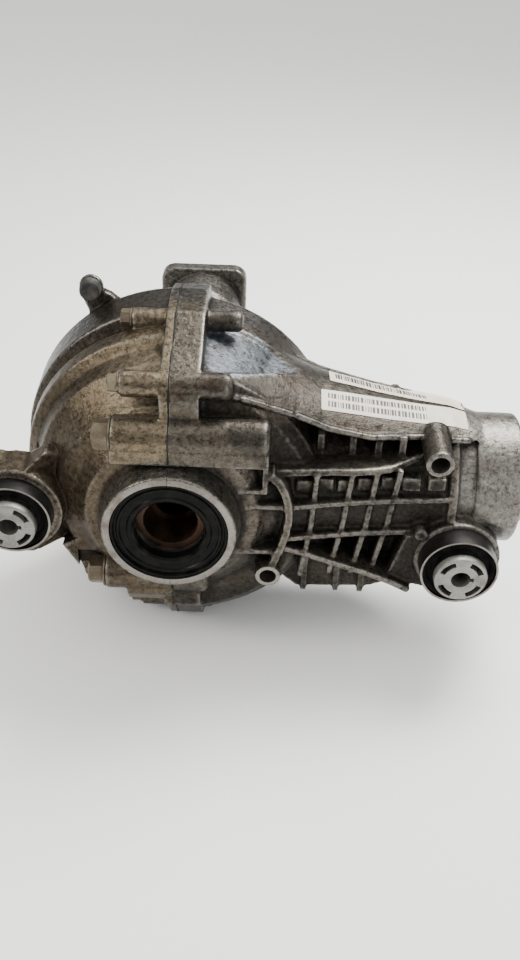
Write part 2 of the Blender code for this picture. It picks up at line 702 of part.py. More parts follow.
def circle_like(section, axis, along, radius):
    """A plain ring with one point at the angle of each point of a tooth section."""
    ring = []
    for point in section:
        across = {"X": (point.y, point.z), "Y": (point.x, point.z), "Z": (point.x, point.y)}
        u, v = across[axis]
        length = math.hypot(u, v)
        ring.append(place(axis, along, radius * u / length, radius * v / length))
    return ring


BACKLASH = 0.5
RING_CONE = math.atan2(RING_TEETH, PINION_TEETH)
PINION_CONE = math.pi / 2 - RING_CONE
CONE_DISTANCE = RING_PITCH_R / math.sin(RING_CONE)
DRIVE_FACE = 24.0
DRIVE_TWIST = 2 * math.pi * 0.9
RING_BACK_Y = 42.0


def ring_gear():
    def thickness(module):
        return 1.353 * module - BACKLASH

    sections = bevel_sections("Y", 1.0, RING_TEETH, RING_CONE, CONE_DISTANCE, DRIVE_FACE, 0.45, 1.2,
                              thickness, True, DRIVE_TWIST, math.pi / RING_TEETH, 1)
    inner = circle_like(sections[-1], "Y", RING_BACK_Y, 57.0)
    outer = circle_like(sections[0], "Y", RING_BACK_Y, 87.0)
    body = lofted("ring_gear", sections + [inner, outer], closed_loop=True, paint=GEAR_STEEL)
    holes = [rod("hole", "Y", 30, 50, RING_BOLT_R + GAP, at, 10) for at in ring_bolt_places()]
    return smooth(cut(body, holes))


def ring_bolt_places():
    """Places of the screws that hold the ring gear to the case, as (x, z)."""
    for i in range(RING_BOLTS):
        angle = 2 * math.pi * (i + 0.5) / RING_BOLTS
        yield RING_BOLT_CIRCLE_R * math.cos(angle), RING_BOLT_CIRCLE_R * math.sin(angle)


def drive_pinion():
    def thickness(module):
        return 1.789 * module - 0.1

    sections = bevel_sections("X", 1.0, PINION_TEETH, PINION_CONE, CONE_DISTANCE, DRIVE_FACE, 1.0, 0.62,
                              thickness, False, DRIVE_TWIST, 0.0, 1)
    head = lofted("drive_pinion", sections, paint=GEAR_STEEL)
    shaft = [
        (62.0, 0.0), (62.0, 11.0), (82.0, 18.0), (86.0, 21.0), (91.0, 21.0), (91.0, HEAD_JOURNAL_R),
        (113.0, HEAD_JOURNAL_R), (114.0, TAIL_JOURNAL_R), (186.0, TAIL_JOURNAL_R), (187.0, SPLINE_R),
        (204.0, SPLINE_R), (205.0, THREAD_R), (226.0, THREAD_R), (227.0, THREAD_R - 1), (227.0, 0.0),
    ]
    return smooth(join(head, [turned("shaft", shaft, "X", segments=20)]))


SIDE_CONE = math.atan2(SIDE_TEETH, SPIDER_TEETH)
SPIDER_CONE = math.pi / 2 - SIDE_CONE
SIDE_DISTANCE = SIDE_PITCH_R / math.sin(SIDE_CONE)
SIDE_FACE = 10.0
SIDE_BACKLASH = 0.45
SPIDER_BACKLASH = 0.2


def side_gear(name, way):
    """A side gear on the axle axis; way is -1 on the bore side and 1 on the tube side."""

    def thickness(module):
        return 1.40 * module - SIDE_BACKLASH

    half_tooth = math.pi / SIDE_TEETH
    sections = bevel_sections("Y", way, SIDE_TEETH, SIDE_CONE, SIDE_DISTANCE, SIDE_FACE, 0.5, 1.15,
                              thickness, True, 0.0, math.pi / 2 + half_tooth, 1)
    rings = sections + [
        circle_like(sections[0], "Y", way * 39.0, SIDE_BORE_R),
        circle_like(sections[0], "Y", way * 39.0, SIDE_HUB_R),
        circle_like(sections[0], "Y", way * 29.4, SIDE_HUB_R),
        circle_like(sections[0], "Y", way * 29.4, 27.5),
    ]
    return smooth(lofted(name, rings, closed_loop=True, paint=GEAR_STEEL))


def spider_gear(name, way):
    """A spider gear on the cross pin; way is 1 above the axle axis and -1 below it."""

    def thickness(module):
        return 1.742 * module - SPIDER_BACKLASH

    sections = bevel_sections("Z", way, SPIDER_TEETH, SPIDER_CONE, SIDE_DISTANCE, SIDE_FACE, 0.95, 0.67,
                              thickness, False, 0.0, math.pi / 2, 1)
    rings = sections + [
        circle_like(sections[0], "Z", way * 19.5, CROSS_PIN_R + GAP),
        circle_like(sections[0], "Z", way * 35.0, CROSS_PIN_R + GAP),
        circle_like(sections[0], "Z", way * 35.0, 17.0),
    ]
    return smooth(lofted(name, rings, closed_loop=True, paint=GEAR_STEEL))


# ---------------------------------------------------------------- differential

CASE_R = 46.0


def differential_case():
    outer = [
        (-62.0, JOURNAL_R), (-44.2, JOURNAL_R), (-44.2, 26.0), (-40.5, 30.0), (-30.0, CASE_R),
        (34.0, CASE_R), (RING_BACK_Y + GAP, 56.0), (RING_BACK_Y + GAP, 79.0), (51.0, 79.0), (51.0, 50.0),
        (54.0, 26.0), (54.0, JOURNAL_R), (71.5, JOURNAL_R),
    ]
    hub = SIDE_HUB_R + GAP
    inner = [(71.5, hub), (31.3, hub), (31.3, 30.0), (20.0, 37.0), (-20.0, 37.0), (-31.3, 30.0),
             (-31.3, hub), (-62.0, hub)]
    body = turned("differential_case", outer + inner, "Y", segments=20, paint=GEAR_STEEL)
    cuts = [
        rod("pin_hole", "Z", -70, 70, CROSS_PIN_R + GAP, (0, 0), 16),
        rod("spot_face", "Z", -37.0, 37.0, 19.0, (0, 0), 20),
        box("window", (-70, -17, -22), (-20, 20, 22)),
        box("window", (20, -17, -22), (70, 20, 22)),
    ]
    cuts += [rod("hole", "Y", 40, 55, RING_BOLT_R + GAP, at, 10) for at in ring_bolt_places()]
    return smooth(cut(body, cuts))


def ring_bolts():
    for index, at in enumerate(ring_bolt_places()):
        hex_bolt(f"ring_gear_bolt_{index + 1}", "Y", at, 51.0, 33.0, RING_BOLT_R, 10.0, 5.5, 6.5, STEEL)


def thrust_washers():
    for name, way in (("near", -1.0), ("far", 1.0)):
        bore = SIDE_HUB_R + GAP
        profile = [(way * 29.7, bore), (way * 31.0, bore), (way * 31.0, 27.0), (way * 29.7, 27.0)]
        turned(f"{name}_side_washer", profile, "Y", segments=20, paint=BRONZE)
    for name, way in (("upper", 1.0), ("lower", -1.0)):
        bore = CROSS_PIN_R + GAP
        profile = [(way * 35.3, bore), (way * 36.5, bore), (way * 36.1, 12.0), (way * 35.3, 12.0)]
        turned(f"{name}_spider_washer", profile, "Z", segments=16, paint=BRONZE)


def build_differential():
    differential_case()
    ring_gear()
    ring_bolts()
    smooth(rod("cross_pin", "Z", -CASE_R + 0.5, CASE_R - 0.5, CROSS_PIN_R, (0, 0), 16, STEEL))
    side_gear("near_side_gear", -1.0)
    side_gear("far_side_gear", 1.0)
    spider_gear("upper_spider_gear", 1.0)
    spider_gear("lower_spider_gear", -1.0)
    thrust_washers()
    # The shaft that carries the drive from the far side gear out through the axle tube.
    splined = SIDE_BORE_R - GAP
    shaft = [(16.0, 0.0), (16.0, splined - 0.7), (17.0, splined), (74.0, splined), (80.0, OUTPUT_SHAFT_R),
             (228.0, OUTPUT_SHAFT_R), (229.0, 16.5), (243.0, 16.5), (243.0, 0.0)]
    smooth(turned("intermediate_shaft", shaft, "Y", segments=20, paint=STEEL))


def build_bearings():
    tapered_bearing("near_bearing", "Y", -61.0, -45.0, JOURNAL_R + GAP, CUP_R, 2.4, 10)
    tapered_bearing("far_bearing", "Y", 71.5, 55.5, JOURNAL_R + GAP, CUP_R, 2.4, 10)
    tapered_bearing("head_bearing", "X", 92.6, 110.2, HEAD_JOURNAL_R + GAP, 36.0, 3.8, 9)
    tapered_bearing("tail_bearing", "X", 181.5, 163.3, TAIL_JOURNAL_R + GAP, 30.0, 3.2, 9)


def build_pinion():
    drive_pinion()
    bore = TAIL_JOURNAL_R + GAP
    sleeve = [(114.3, bore), (114.3, 17.5), (138.0, 20.5), (161.0, 17.5), (161.0, bore), (138.0, 17.3)]
    smooth(turned("crush_sleeve", sleeve, "X", segments=20, paint=STEEL))
    flange = [
        (187.5, SPLINE_R + GAP), (187.5, 20.0), (212.0, 20.0), (214.0, 26.0), (221.0, 32.0), (226.0, 32.0),
        (227.0, 31.0), (227.0, 19.0), (216.5, 17.5), (216.5, SPLINE_R + GAP),
    ]
    body = turned("input_flange", flange, "X", segments=20, paint=STEEL)
    holes = []
    for i in range(4):
        angle = math.radians(45 + 90 * i)
        holes.append(rod("hole", "X", 205, 240, 3.4, (25.5 * math.cos(angle), 25.5 * math.sin(angle)), 10))
    smooth(cut(body, holes))
    nut = prism("pinion_nut", "X", hexagon(27.0), 216.8, 226.0, STEEL)
    cut(nut, [rod("hole", "X", 210, 230, THREAD_R + GAP, (0, 0), 20)])


def build_housing():
    carrier()
    cover()
    axle_tube()
    cover_bolts()
    tube_bolts()
    plug("fill_plug", FILL_PLUG)
    plug("drain_plug", DRAIN_PLUG)
    ring_seal("near_output_seal", "Y", BORE_FACE_Y + 1.2, -65.0, SEAL_SEAT_R - GAP, 21.5)
    ring_seal("far_output_seal", "Y", TUBE_END_Y - 1.5, TUBE_END_Y - 11.5, 25.7, 16.9)
    ring_seal("pinion_seal", "X", 208.0, 197.0, 34.0, 20.4)
    base = KNOB_NEAR_Y - GAP
    cap = [(base - 7.2, 0.0), (base - 7.2, 6.6), (base - 2.0, 7.2), (base, 7.2), (base, 0.0)]
    smooth(turned("breather_cap", cap, "Y", KNOB, 24, BLACK_CAP))
    bush("front_bush", FRONT_BUSH, FRONT_BUSH_END)
    bush("rear_bush", REAR_BUSH, REAR_BUSH_END)


# ---------------------------------------------------------------- assembly

# Joint axes: each group of moving pieces hangs from an empty on the axis it turns about.
GROUPS = {
    "pinion_axis": ("drive_pinion", "head_bearing_cone", "tail_bearing_cone", "crush_sleeve",
                    "input_flange", "pinion_nut"),
    "case_axis": ("differential_case", "ring_gear", "cross_pin", "near_bearing_cone", "far_bearing_cone",
                  "near_side_washer", "far_side_washer", "upper_spider_washer", "lower_spider_washer")
                 + tuple(f"ring_gear_bolt_{i + 1}" for i in range(RING_BOLTS)),
    "near_output_axis": ("near_side_gear",),
    "far_output_axis": ("far_side_gear", "intermediate_shaft"),
    "spider_axis": ("upper_spider_gear", "lower_spider_gear"),
    "roller_axis": ("near_bearing_rollers", "far_bearing_rollers", "head_bearing_rollers",
                    "tail_bearing_rollers"),
}


def assemble():
    """Groups the moving pieces under their axes and stands the whole model on the ground."""
    bpy.context.view_layer.update()
    solids = [item for item in bpy.context.scene.objects if item.type == "MESH"]
    corners = [vertex.co for item in solids for vertex in item.data.vertices]
    low = Vector(min(corner[i] for corner in corners) for i in range(3))
    high = Vector(max(corner[i] for corner in corners) for i in range(3))
    root = bpy.data.objects.new("assembly", None)
    bpy.context.scene.collection.objects.link(root)
    root.location = (-(low.x + high.x) / 2, -(low.y + high.y) / 2, -low.z)
    for name, members in GROUPS.items():
        axis = bpy.data.objects.new(name, None)
        bpy.context.scene.collection.objects.link(axis)
        axis.parent = root
        for member in members:
            bpy.data.objects[member].parent = axis
    for item in solids:
        if item.parent is None:
            item.parent = root


build_housing()
build_bearings()
build_differential()
build_pinion()
assemble()
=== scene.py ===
"""Looks of the differential gear assembly: castings, fasteners, bushes, seals, labels, light and camera.

Design frame, in millimetres: the origin is where the axle axis (Y) crosses the pinion axis (X), Z is up.
place() turns design points into the row frame, in metres, with the case joint's position.
"""

import json
import math
import random

import bmesh
import bpy
import numpy as np
from mathutils import Matrix, Vector
from mathutils.bvhtree import BVHTree


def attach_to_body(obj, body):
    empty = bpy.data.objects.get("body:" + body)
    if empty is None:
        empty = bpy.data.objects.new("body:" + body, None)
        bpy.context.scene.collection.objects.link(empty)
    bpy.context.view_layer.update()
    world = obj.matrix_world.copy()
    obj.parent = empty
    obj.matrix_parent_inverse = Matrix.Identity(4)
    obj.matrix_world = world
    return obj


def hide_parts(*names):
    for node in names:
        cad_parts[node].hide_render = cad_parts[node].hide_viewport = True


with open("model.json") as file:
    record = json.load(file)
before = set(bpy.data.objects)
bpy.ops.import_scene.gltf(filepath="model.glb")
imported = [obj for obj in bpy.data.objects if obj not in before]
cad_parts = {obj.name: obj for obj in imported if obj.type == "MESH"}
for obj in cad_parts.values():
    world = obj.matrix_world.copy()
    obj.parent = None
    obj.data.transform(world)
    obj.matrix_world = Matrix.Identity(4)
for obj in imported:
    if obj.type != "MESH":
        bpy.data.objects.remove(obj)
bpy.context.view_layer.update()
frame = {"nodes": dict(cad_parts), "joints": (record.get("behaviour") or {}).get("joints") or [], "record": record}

MM = 0.001
CASE_JOINT = next(joint for joint in frame["joints"] if joint["name"] == "case_spin")
ORIGIN = Vector(CASE_JOINT["pos_m"])
ROUND = 128  # segments of a large round surface
SMALL = 64  # segments of a small one
MACHINED = 1  # material index of a casting's machined faces; its skin has index 0


# ---------------- shading

class Finish:
    """Builds the node tree of one procedural material."""

    def __init__(self, name):
        self.material = bpy.data.materials.new(name)
        self.material.use_nodes = True
        self.tree = self.material.node_tree
        self.shader = self.tree.nodes["Principled BSDF"]
        self.where = self.node("ShaderNodeTexCoord").outputs["Object"]

    def node(self, kind):
        return self.tree.nodes.new(kind)

    def link(self, source, target):
        if isinstance(source, bpy.types.NodeSocket):
            self.tree.links.new(source, target)
        else:
            target.default_value = source

    def noise(self, scale, detail=4.0, rough=0.6, where=None):
        made = self.node("ShaderNodeTexNoise")
        made.inputs["Scale"].default_value = scale
        made.inputs["Detail"].default_value = detail
        made.inputs["Roughness"].default_value = rough
        self.link(where or self.where, made.inputs["Vector"])
        return made.outputs["Fac"]

    def cells(self, scale):
        made = self.node("ShaderNodeTexVoronoi")
        made.inputs["Scale"].default_value = scale
        self.link(self.where, made.inputs["Vector"])
        return made.outputs["Distance"]

    def stretched(self, x, y, z):
        made = self.node("ShaderNodeMapping")
        made.inputs["Scale"].default_value = (x, y, z)
        self.link(self.where, made.inputs["Vector"])
        return made.outputs["Vector"]

    def attribute(self, name, output="Fac"):
        made = self.node("ShaderNodeAttribute")
        made.attribute_name = name
        return made.outputs[output]

    def math(self, operation, first, second=0.0, clamp=False):
        made = self.node("ShaderNodeMath")
        made.operation = operation
        made.use_clamp = clamp
        self.link(first, made.inputs[0])
        self.link(second, made.inputs[1])
        return made.outputs[0]

    def span(self, value, low, high, to_low=0.0, to_high=1.0):
        made = self.node("ShaderNodeMapRange")
        made.clamp = True
        for key, number in (("From Min", low), ("From Max", high), ("To Min", to_low), ("To Max", to_high)):
            made.inputs[key].default_value = number
        self.link(value, made.inputs["Value"])
        return made.outputs["Result"]

    def mix(self, amount, first, second, blend="MIX"):
        made = self.node("ShaderNodeMix")
        made.data_type = "RGBA"
        made.blend_type = blend
        self.link(amount, made.inputs["Factor"])
        for key, colour in (("A", first), ("B", second)):
            socket = next(s for s in made.inputs if s.name == key and s.type == "RGBA")
            self.link((*colour, 1.0) if isinstance(colour, tuple) else colour, socket)
        return next(s for s in made.outputs if s.type == "RGBA")

    def bump(self, height, distance, strength=1.0):
        made = self.node("ShaderNodeBump")
        made.inputs["Distance"].default_value = distance
        made.inputs["Strength"].default_value = strength
        self.link(height, made.inputs["Height"])
        normal = self.shader.inputs["Normal"]
        if normal.is_linked:
            self.link(normal.links[0].from_socket, made.inputs["Normal"])
        self.link(made.outputs["Normal"], normal)

    def surface(self, colour, roughness, metallic):
        self.link(colour, self.shader.inputs["Base Color"])
        self.link(roughness, self.shader.inputs["Roughness"])
        self.link(metallic, self.shader.inputs["Metallic"])
        return self.material


def cast_metal(name, grime_and_shade_colour, hollow_level):
    """Sand-cast aluminium: mottled and pitted, bright on worn edges, and oily brown with painted shade in its
    hollows and masked regions.
    """
    f = Finish(name)
    blotch, mottle = f.noise(22), f.noise(330, 6, 0.7)
    grain, fine = f.noise(620, 3, 0.7), f.noise(1700, 2)
    tone = f.mix(f.span(mottle, 0.35, 0.65), (0.27, 0.26, 0.245), (0.80, 0.80, 0.79))
    colour = f.mix(1.0, f.attribute("tint", "Color"), tone, "MULTIPLY")
    colour = f.mix(f.span(grain, 0.56, 0.66, 0.0, 0.75), colour, (0.03, 0.022, 0.015))
    colour = f.mix(f.span(fine, 0.62, 0.74, 0.0, 0.35), colour, (0.30, 0.28, 0.25))
    colour = f.mix(f.span(f.noise(60, 6, 0.7), 0.52, 0.72, 0.0, 0.5), colour, (0.06, 0.036, 0.02))
    # Painted shade with grime: darker in hollows, by how far each point lies below its surroundings, and where the
    # casting's mask says.
    hollow = f.span(f.attribute("hollow"), hollow_level, hollow_level + 1.1)
    dirt_and_shade = f.math("ADD", hollow, f.span(blotch, 0.35, 0.7, -0.30, 0.35))
    dirt_and_shade = f.math("ADD", dirt_and_shade, f.attribute("grime_and_shade"), clamp=True)
    dirt_and_shade = f.math("MULTIPLY", dirt_and_shade, f.span(mottle, 0.25, 0.7, 1.0, 0.75), clamp=True)
    colour = f.mix(dirt_and_shade, colour, grime_and_shade_colour)
    worn = f.math("MULTIPLY", f.span(f.attribute("edge"), 0.05, 0.40), f.span(mottle, 0.32, 0.6), clamp=True)
    colour = f.mix(f.math("MULTIPLY", worn, 0.55), colour, (0.26, 0.245, 0.22))
    f.shader.inputs["Specular IOR Level"].default_value = 0.08
    rough = f.span(mottle, 0.3, 0.7, 0.20, 0.46)
    f.bump(grain, 0.0005, 0.6)
    f.bump(fine, 0.00015, 0.4)
    f.bump(f.cells(420), 0.00025, 0.25)
    return f.surface(colour, rough, f.span(dirt_and_shade, 0.0, 1.0, 0.85, 0.15))


def machined_metal(name, colour, stain, rough=0.3, grain=(1.0, 1.0, 1.0), stain_from=0.5):
    """Turned or milled metal with fine tool marks and patchy stains."""
    f = Finish(name)
    marks = f.noise(900, 2, 0.5, f.stretched(*grain))
    blotch = f.noise(70, 6)
    dark, light = tuple(c * 0.8 for c in colour), tuple(min(1.0, c * 1.15) for c in colour)
    tone = f.mix(f.span(marks, 0.3, 0.7), dark, light)
    spots = f.span(blotch, stain_from, stain_from + 0.2)
    tone = f.mix(f.math("MULTIPLY", spots, 0.75), tone, stain)
    f.bump(marks, 0.00006, 0.5)
    f.bump(f.noise(420, 4), 0.00008, 0.4)
    return f.surface(tone, f.span(blotch, 0.3, 0.7, rough, rough + 0.25), f.span(spots, 0.0, 1.0, 0.95, 0.6))


def black_rubber(name, rough, shade=0.012):
    f = Finish(name)
    dust = f.span(f.noise(120, 6), 0.45, 0.8)
    colour = f.mix(dust, (shade, shade, shade), (shade * 4.0, shade * 3.7, shade * 3.3))
    f.bump(f.noise(1500, 3), 0.00008, 0.5)
    f.shader.inputs["Specular IOR Level"].default_value = 0.06
    return f.surface(colour, f.span(f.noise(60), 0.3, 0.7, rough, rough + 0.2), 0.0)


def paper(name, colour):
    """Label stock, creased and a little grubby."""
    f = Finish(name)
    stains = f.span(f.noise(90, 6), 0.5, 0.85, 0.0, 0.7)
    shade = f.mix(stains, colour, tuple(c * 0.6 for c in colour))
    f.bump(f.noise(350, 3), 0.0001, 0.3)
    return f.surface(shade, 0.55, 0.0)


# The dark colours below paint shade together with grime in hollows, pockets and lower parts.
CAST_ALLOY = cast_metal("cast_alloy", (0.007, 0.006, 0.005), 0.15)
COVER_ALLOY = cast_metal("cover_alloy", (0.016, 0.011, 0.007), 0.30)
MILLED = machined_metal("milled_alloy", (0.22, 0.207, 0.185), (0.085, 0.05, 0.028), 0.3)
TURNED_STEEL = machined_metal("turned_steel", (0.23, 0.22, 0.205), (0.09, 0.055, 0.032), 0.25)
GEAR_METAL = machined_metal("oily_gear_steel", (0.25, 0.24, 0.23), (0.07, 0.045, 0.028), 0.16)
RUSTY_STEEL = machined_metal("rusty_steel", (0.045, 0.029, 0.019), (0.06, 0.027, 0.012), 0.4, stain_from=0.4)
PLATED = machined_metal("plated_screw", (0.175, 0.15, 0.105), (0.06, 0.036, 0.02), 0.25, stain_from=0.45)
DARK_SLEEVE = machined_metal("dark_sleeve", (0.035, 0.034, 0.033), (0.015, 0.012, 0.01), 0.3)
DISC_ALLOY = machined_metal("disc_alloy", (0.25, 0.25, 0.228), (0.13, 0.12, 0.105), 0.42)
BRONZE = machined_metal("bronze", (0.45, 0.28, 0.11), (0.16, 0.09, 0.04), 0.3)
MATT_RUBBER = black_rubber("matt_rubber", 0.55, 0.006)
WET_RUBBER = black_rubber("oily_rubber", 0.07, 0.003)
SEALANT = black_rubber("sealant", 0.35, 0.012)
CAP_PLASTIC = black_rubber("cap_plastic", 0.45, 0.03)
LABEL_STOCK = paper("label_stock", (0.66, 0.60, 0.50))
LABEL_INK = paper("label_ink", (0.015, 0.015, 0.015))


# ---------------- mesh tools

def place(axis, along, u, v):
    """A row-frame point from its distance along a design axis and its two cross coordinates."""
    if axis == "X":
        point = (along, u, v)
    elif axis == "Y":
        point = (u, along, v)
    else:
        point = (u, v, along)
    return Vector(point) * MM + ORIGIN


def mesh_object(name, bm, paints=()):
    bmesh.ops.recalc_face_normals(bm, faces=bm.faces)
    mesh = bpy.data.meshes.new(name)
    bm.to_mesh(mesh)
    bm.free()
    made = bpy.data.objects.new(name, mesh)
    bpy.context.scene.collection.objects.link(made)
    for paint in paints:
        mesh.materials.append(paint)
    return made


def lofted(name, rings, closed_loop=False, paints=()):
    """Skins between rings of points; the ends are capped unless the rings close into a loop."""
    bm = bmesh.new()
    rows = [[bm.verts.new(point) for point in ring] for ring in rings]
    pairs = list(zip(rows, rows[1:]))
    if closed_loop:
        pairs.append((rows[-1], rows[0]))
    for first, second in pairs:
        count = len(first)
        for i in range(count):
            j = (i + 1) % count
            bm.faces.new((first[i], first[j], second[j], second[i]))
    if not closed_loop:
        bm.faces.new(rows[0])
        bm.faces.new(rows[-1])
    return mesh_object(name, bm, paints)


def turned(name, profile, axis, centre=(0.0, 0.0), segments=ROUND, paints=()):
    """A solid turned from (along, radius) points. A radius of 0 at both ends closes it on its axis."""
    solid = profile[0][1] == 0.0
    rings = []
    for along, radius in profile[1:-1] if solid else profile:
        ring = []
        for i in range(segments):
            angle = 2 * math.pi * (i + 0.5) / segments
            ring.append(place(axis, along, centre[0] + radius * math.cos(angle),
                              centre[1] + radius * math.sin(angle)))
        rings.append(ring)
    return lofted(name, rings, not solid, paints)


def rod(name, axis, low, high, radius, centre=(0.0, 0.0), segments=SMALL, paints=()):
    profile = [(low, 0.0), (low, radius), (high, radius), (high, 0.0)]
    return turned(name, profile, axis, centre, segments, paints)


def prism(name, axis, outline, low, high, paints=()):
    rings = [[place(axis, along, u, v) for u, v in outline] for along in (low, high)]
    return lofted(name, rings, paints=paints)


def box(name, low, high):
    outline = [(low[1], low[2]), (high[1], low[2]), (high[1], high[2]), (low[1], high[2])]
    return prism(name, "X", outline, low[0], high[0])


def strip(points, thickness):
    """The closed outline of a bent strip of constant thickness along a polyline."""
    left, right = [], []
    for i, point in enumerate(points):
        before = Vector(points[max(i - 1, 0)])
        after = Vector(points[min(i + 1, len(points) - 1)])
        direction = (after - before).normalized()
        side = Vector((-direction.y, direction.x)) * thickness / 2
        left.append(tuple(Vector(point) + side))
        right.append(tuple(Vector(point) - side))
    return left + right[::-1]


def softened(profile, corner):
    """Replaces each corner of an open profile by a short chamfered arc, so that edges catch the light."""
    result = [profile[0]]
    for before, here, after in zip(profile, profile[1:], profile[2:]):
        here = Vector(here)
        to_before, to_after = Vector(before) - here, Vector(after) - here
        if min(to_before.length, to_after.length) < 1e-6:
            result.append(tuple(here))
            continue
        cut_back = min(corner, to_before.length * 0.4, to_after.length * 0.4)
        start = here + to_before.normalized() * cut_back
        end = here + to_after.normalized() * cut_back
        result += [tuple(start), tuple((start + end) / 4 + here / 2), tuple(end)]
    result.append(profile[-1])
    return result


def evaluated_mesh(target):
    graph = bpy.context.evaluated_depsgraph_get()
    mesh = bpy.data.meshes.new_from_object(target.evaluated_get(graph))
    target.modifiers.clear()
    target.data = mesh
    return target


def combine(target, tools, operation):
    for tool in tools:
        modifier = target.modifiers.new(operation.lower(), "BOOLEAN")
        modifier.operation = operation
        modifier.solver = "MANIFOLD"
        modifier.object = tool
    evaluated_mesh(target)
    for tool in tools:
        bpy.data.objects.remove(tool, do_unlink=True)
    return target


def smooth(target, degrees=32):
    target.data.shade_smooth()
    target.data.set_sharp_from_angle(angle=math.radians(degrees))
    return target


def attach(piece, body, slot, *nodes):
    """Rides the piece on a body and hides the CAD nodes that it stands for; slot is not used."""
    smooth(piece)
    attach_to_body(piece, body)
    if nodes:
        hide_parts(*nodes)
    return piece


# ---------------- castings

def fused(name, solids, voxel, rounding):
    """One closed casting from overlapping solids: remeshed together, with soft fillets and edges."""
    bm = bmesh.new()
    for solid in solids:
        bm.from_mesh(solid.data)
        bpy.data.objects.remove(solid, do_unlink=True)
    body = mesh_object(name, bm)
    remesh = body.modifiers.new("fuse", "REMESH")
    remesh.mode = "VOXEL"
    remesh.voxel_size = voxel * MM
    rounded = body.modifiers.new("round", "SMOOTH")
    rounded.factor = 0.5
    rounded.iterations = rounding
    return evaluated_mesh(body)


def roughened(body, amount, size):
    """Displaces a casting's skin by a fine, uneven texture."""
    texture = bpy.data.textures.new(body.name + "_skin", "CLOUDS")
    texture.noise_scale = size * MM
    texture.noise_depth = 3
    displace = body.modifiers.new("skin", "DISPLACE")
    displace.texture = texture
    displace.strength = amount * MM
    displace.mid_level = 0.5
    return evaluated_mesh(body)


def clad(target, *paints):
    target.data.materials.clear()
    for paint in paints:
        target.data.materials.append(paint)


def machine(body, skin, cutters, rough_cutters=()):
    """Cuts faces into a casting: machined metal, or plain skin where a rough cutter goes."""
    clad(body, skin, MILLED)
    for cutter in cutters:
        clad(cutter, skin, MILLED)
        for face in cutter.data.polygons:
            face.material_index = MACHINED
    for cutter in rough_cutters:
        clad(cutter, skin, MILLED)
    cutters = cutters + list(rough_cutters)
    for cutter in cutters:
        modifier = body.modifiers.new("cut", "BOOLEAN")
        modifier.operation = "DIFFERENCE"
        modifier.solver = "MANIFOLD"
        modifier.material_mode = "INDEX"
        modifier.object = cutter
    evaluated_mesh(body)
    for cutter in cutters:
        bpy.data.objects.remove(cutter, do_unlink=True)
    return body


def relief(mesh, rounds):
    """How far each vertex stands above its surroundings, in millimetres, after rounds of smoothing."""
    count = len(mesh.vertices)
    points = np.empty(count * 3)
    mesh.vertices.foreach_get("co", points)
    normals = np.empty(count * 3)
    mesh.vertices.foreach_get("normal", normals)
    edges = np.empty(len(mesh.edges) * 2, dtype=np.int64)
    mesh.edges.foreach_get("vertices", edges)
    points, normals, edges = points.reshape(-1, 3), normals.reshape(-1, 3), edges.reshape(-1, 2)
    degree = np.maximum(np.bincount(edges.ravel(), minlength=count), 1)[:, None]
    moved = points.copy()
    for _ in range(rounds):
        total = np.empty_like(moved)
        for axis in range(3):
            total[:, axis] = (np.bincount(edges[:, 0], moved[edges[:, 1], axis], count)
                              + np.bincount(edges[:, 1], moved[edges[:, 0], axis], count))
        moved = total / degree
    return ((points - moved) * normals).sum(axis=1) / MM


def ramp(value, low, high):
    return np.clip((value - low) / (high - low), 0.0, 1.0)


def paint_casting(body, tint_of):
    """Stores what the casting's shader reads: worn edges, hollows that take painted shade and grime, a mask of
    painted shade and grime, and a base tint.
    """
    mesh = body.data
    count = len(mesh.vertices)
    points = np.empty(count * 3)
    mesh.vertices.foreach_get("co", points)
    x, y, z = ((points.reshape(-1, 3) - np.array(ORIGIN)) / MM).T
    tint, grime_and_shade = tint_of(x, y, z)
    values = {"edge": relief(mesh, 5), "hollow": -relief(mesh, 70), "grime_and_shade": grime_and_shade}
    for name, value in values.items():
        layer = mesh.attributes.new(name, "FLOAT", "POINT")
        layer.data.foreach_set("value", value.astype(np.float32))
    layer = mesh.attributes.new("tint", "FLOAT_COLOR", "POINT")
    colour = np.ones((count, 4), np.float32)
    colour[:, :3] = tint.T
    layer.data.foreach_set("color", colour.ravel())


def flat_tint(x, colour):
    return np.zeros((3, len(x))) + np.array(colour)[:, None]


def blend(tint, amount, colour):
    return tint * (1 - amount) + np.array(colour)[:, None] * amount


# Screws of the parting flange, as (y, z, shank radius, boss radius, seat x, boss end x).
COVER_BOLTS = (
    (12.0, 102.0, 4.0, 6.6, -28.0, 41.0),
    (-45.0, 88.5, 4.0, 8.2, -29.0, 37.0),
    (-55.0, 59.0, 6.0, 12.0, -34.0, 61.0),
    (-52.0, -50.0, 6.0, 12.0, -44.0, 24.0),
    (-20.0, -99.0, 4.0, 8.0, -26.0, 26.0),
    (40.0, -104.0, 4.0, 8.0, -26.0, 26.0),
    (62.0, -74.0, 4.0, 9.0, -26.0, 26.0),
    (62.0, 74.0, 4.0, 9.0, -26.0, 26.0),
)
COVER_BOLT_HEADS = {4.0: (10.0, 7.5, 6.4), 6.0: (17.0, 11.5, 11.2)}  # across flats, height, collar radius
SPOT_FACE_R = {4.0: 8.0, 6.0: 12.5}
BORE_FACE_Y, BORE_RING_R = -75.0, 41.2
DRUM_R, COVER_DRUM_R = 101.0, 105.5
HUB_FAR_Y = 84.0
SPLIT, CARRIER_FLANGE, COVER_FLANGE = 0.15, 18.0, 6.0
BLANK_SIDE = 320.0  # half the side of a block larger than the whole object
TUBE_SCREW_R, TUBE_SCREW_CIRCLE_R, TUBE_SCREW_DEG = 3.0, 40.0, (60.0, 180.0, 300.0)
HOLE_PLAY, PLUG_BOSS_R, PLUG_HOLE_R = 0.25, 14.0, 9.2
CAST_VOXEL = 0.95
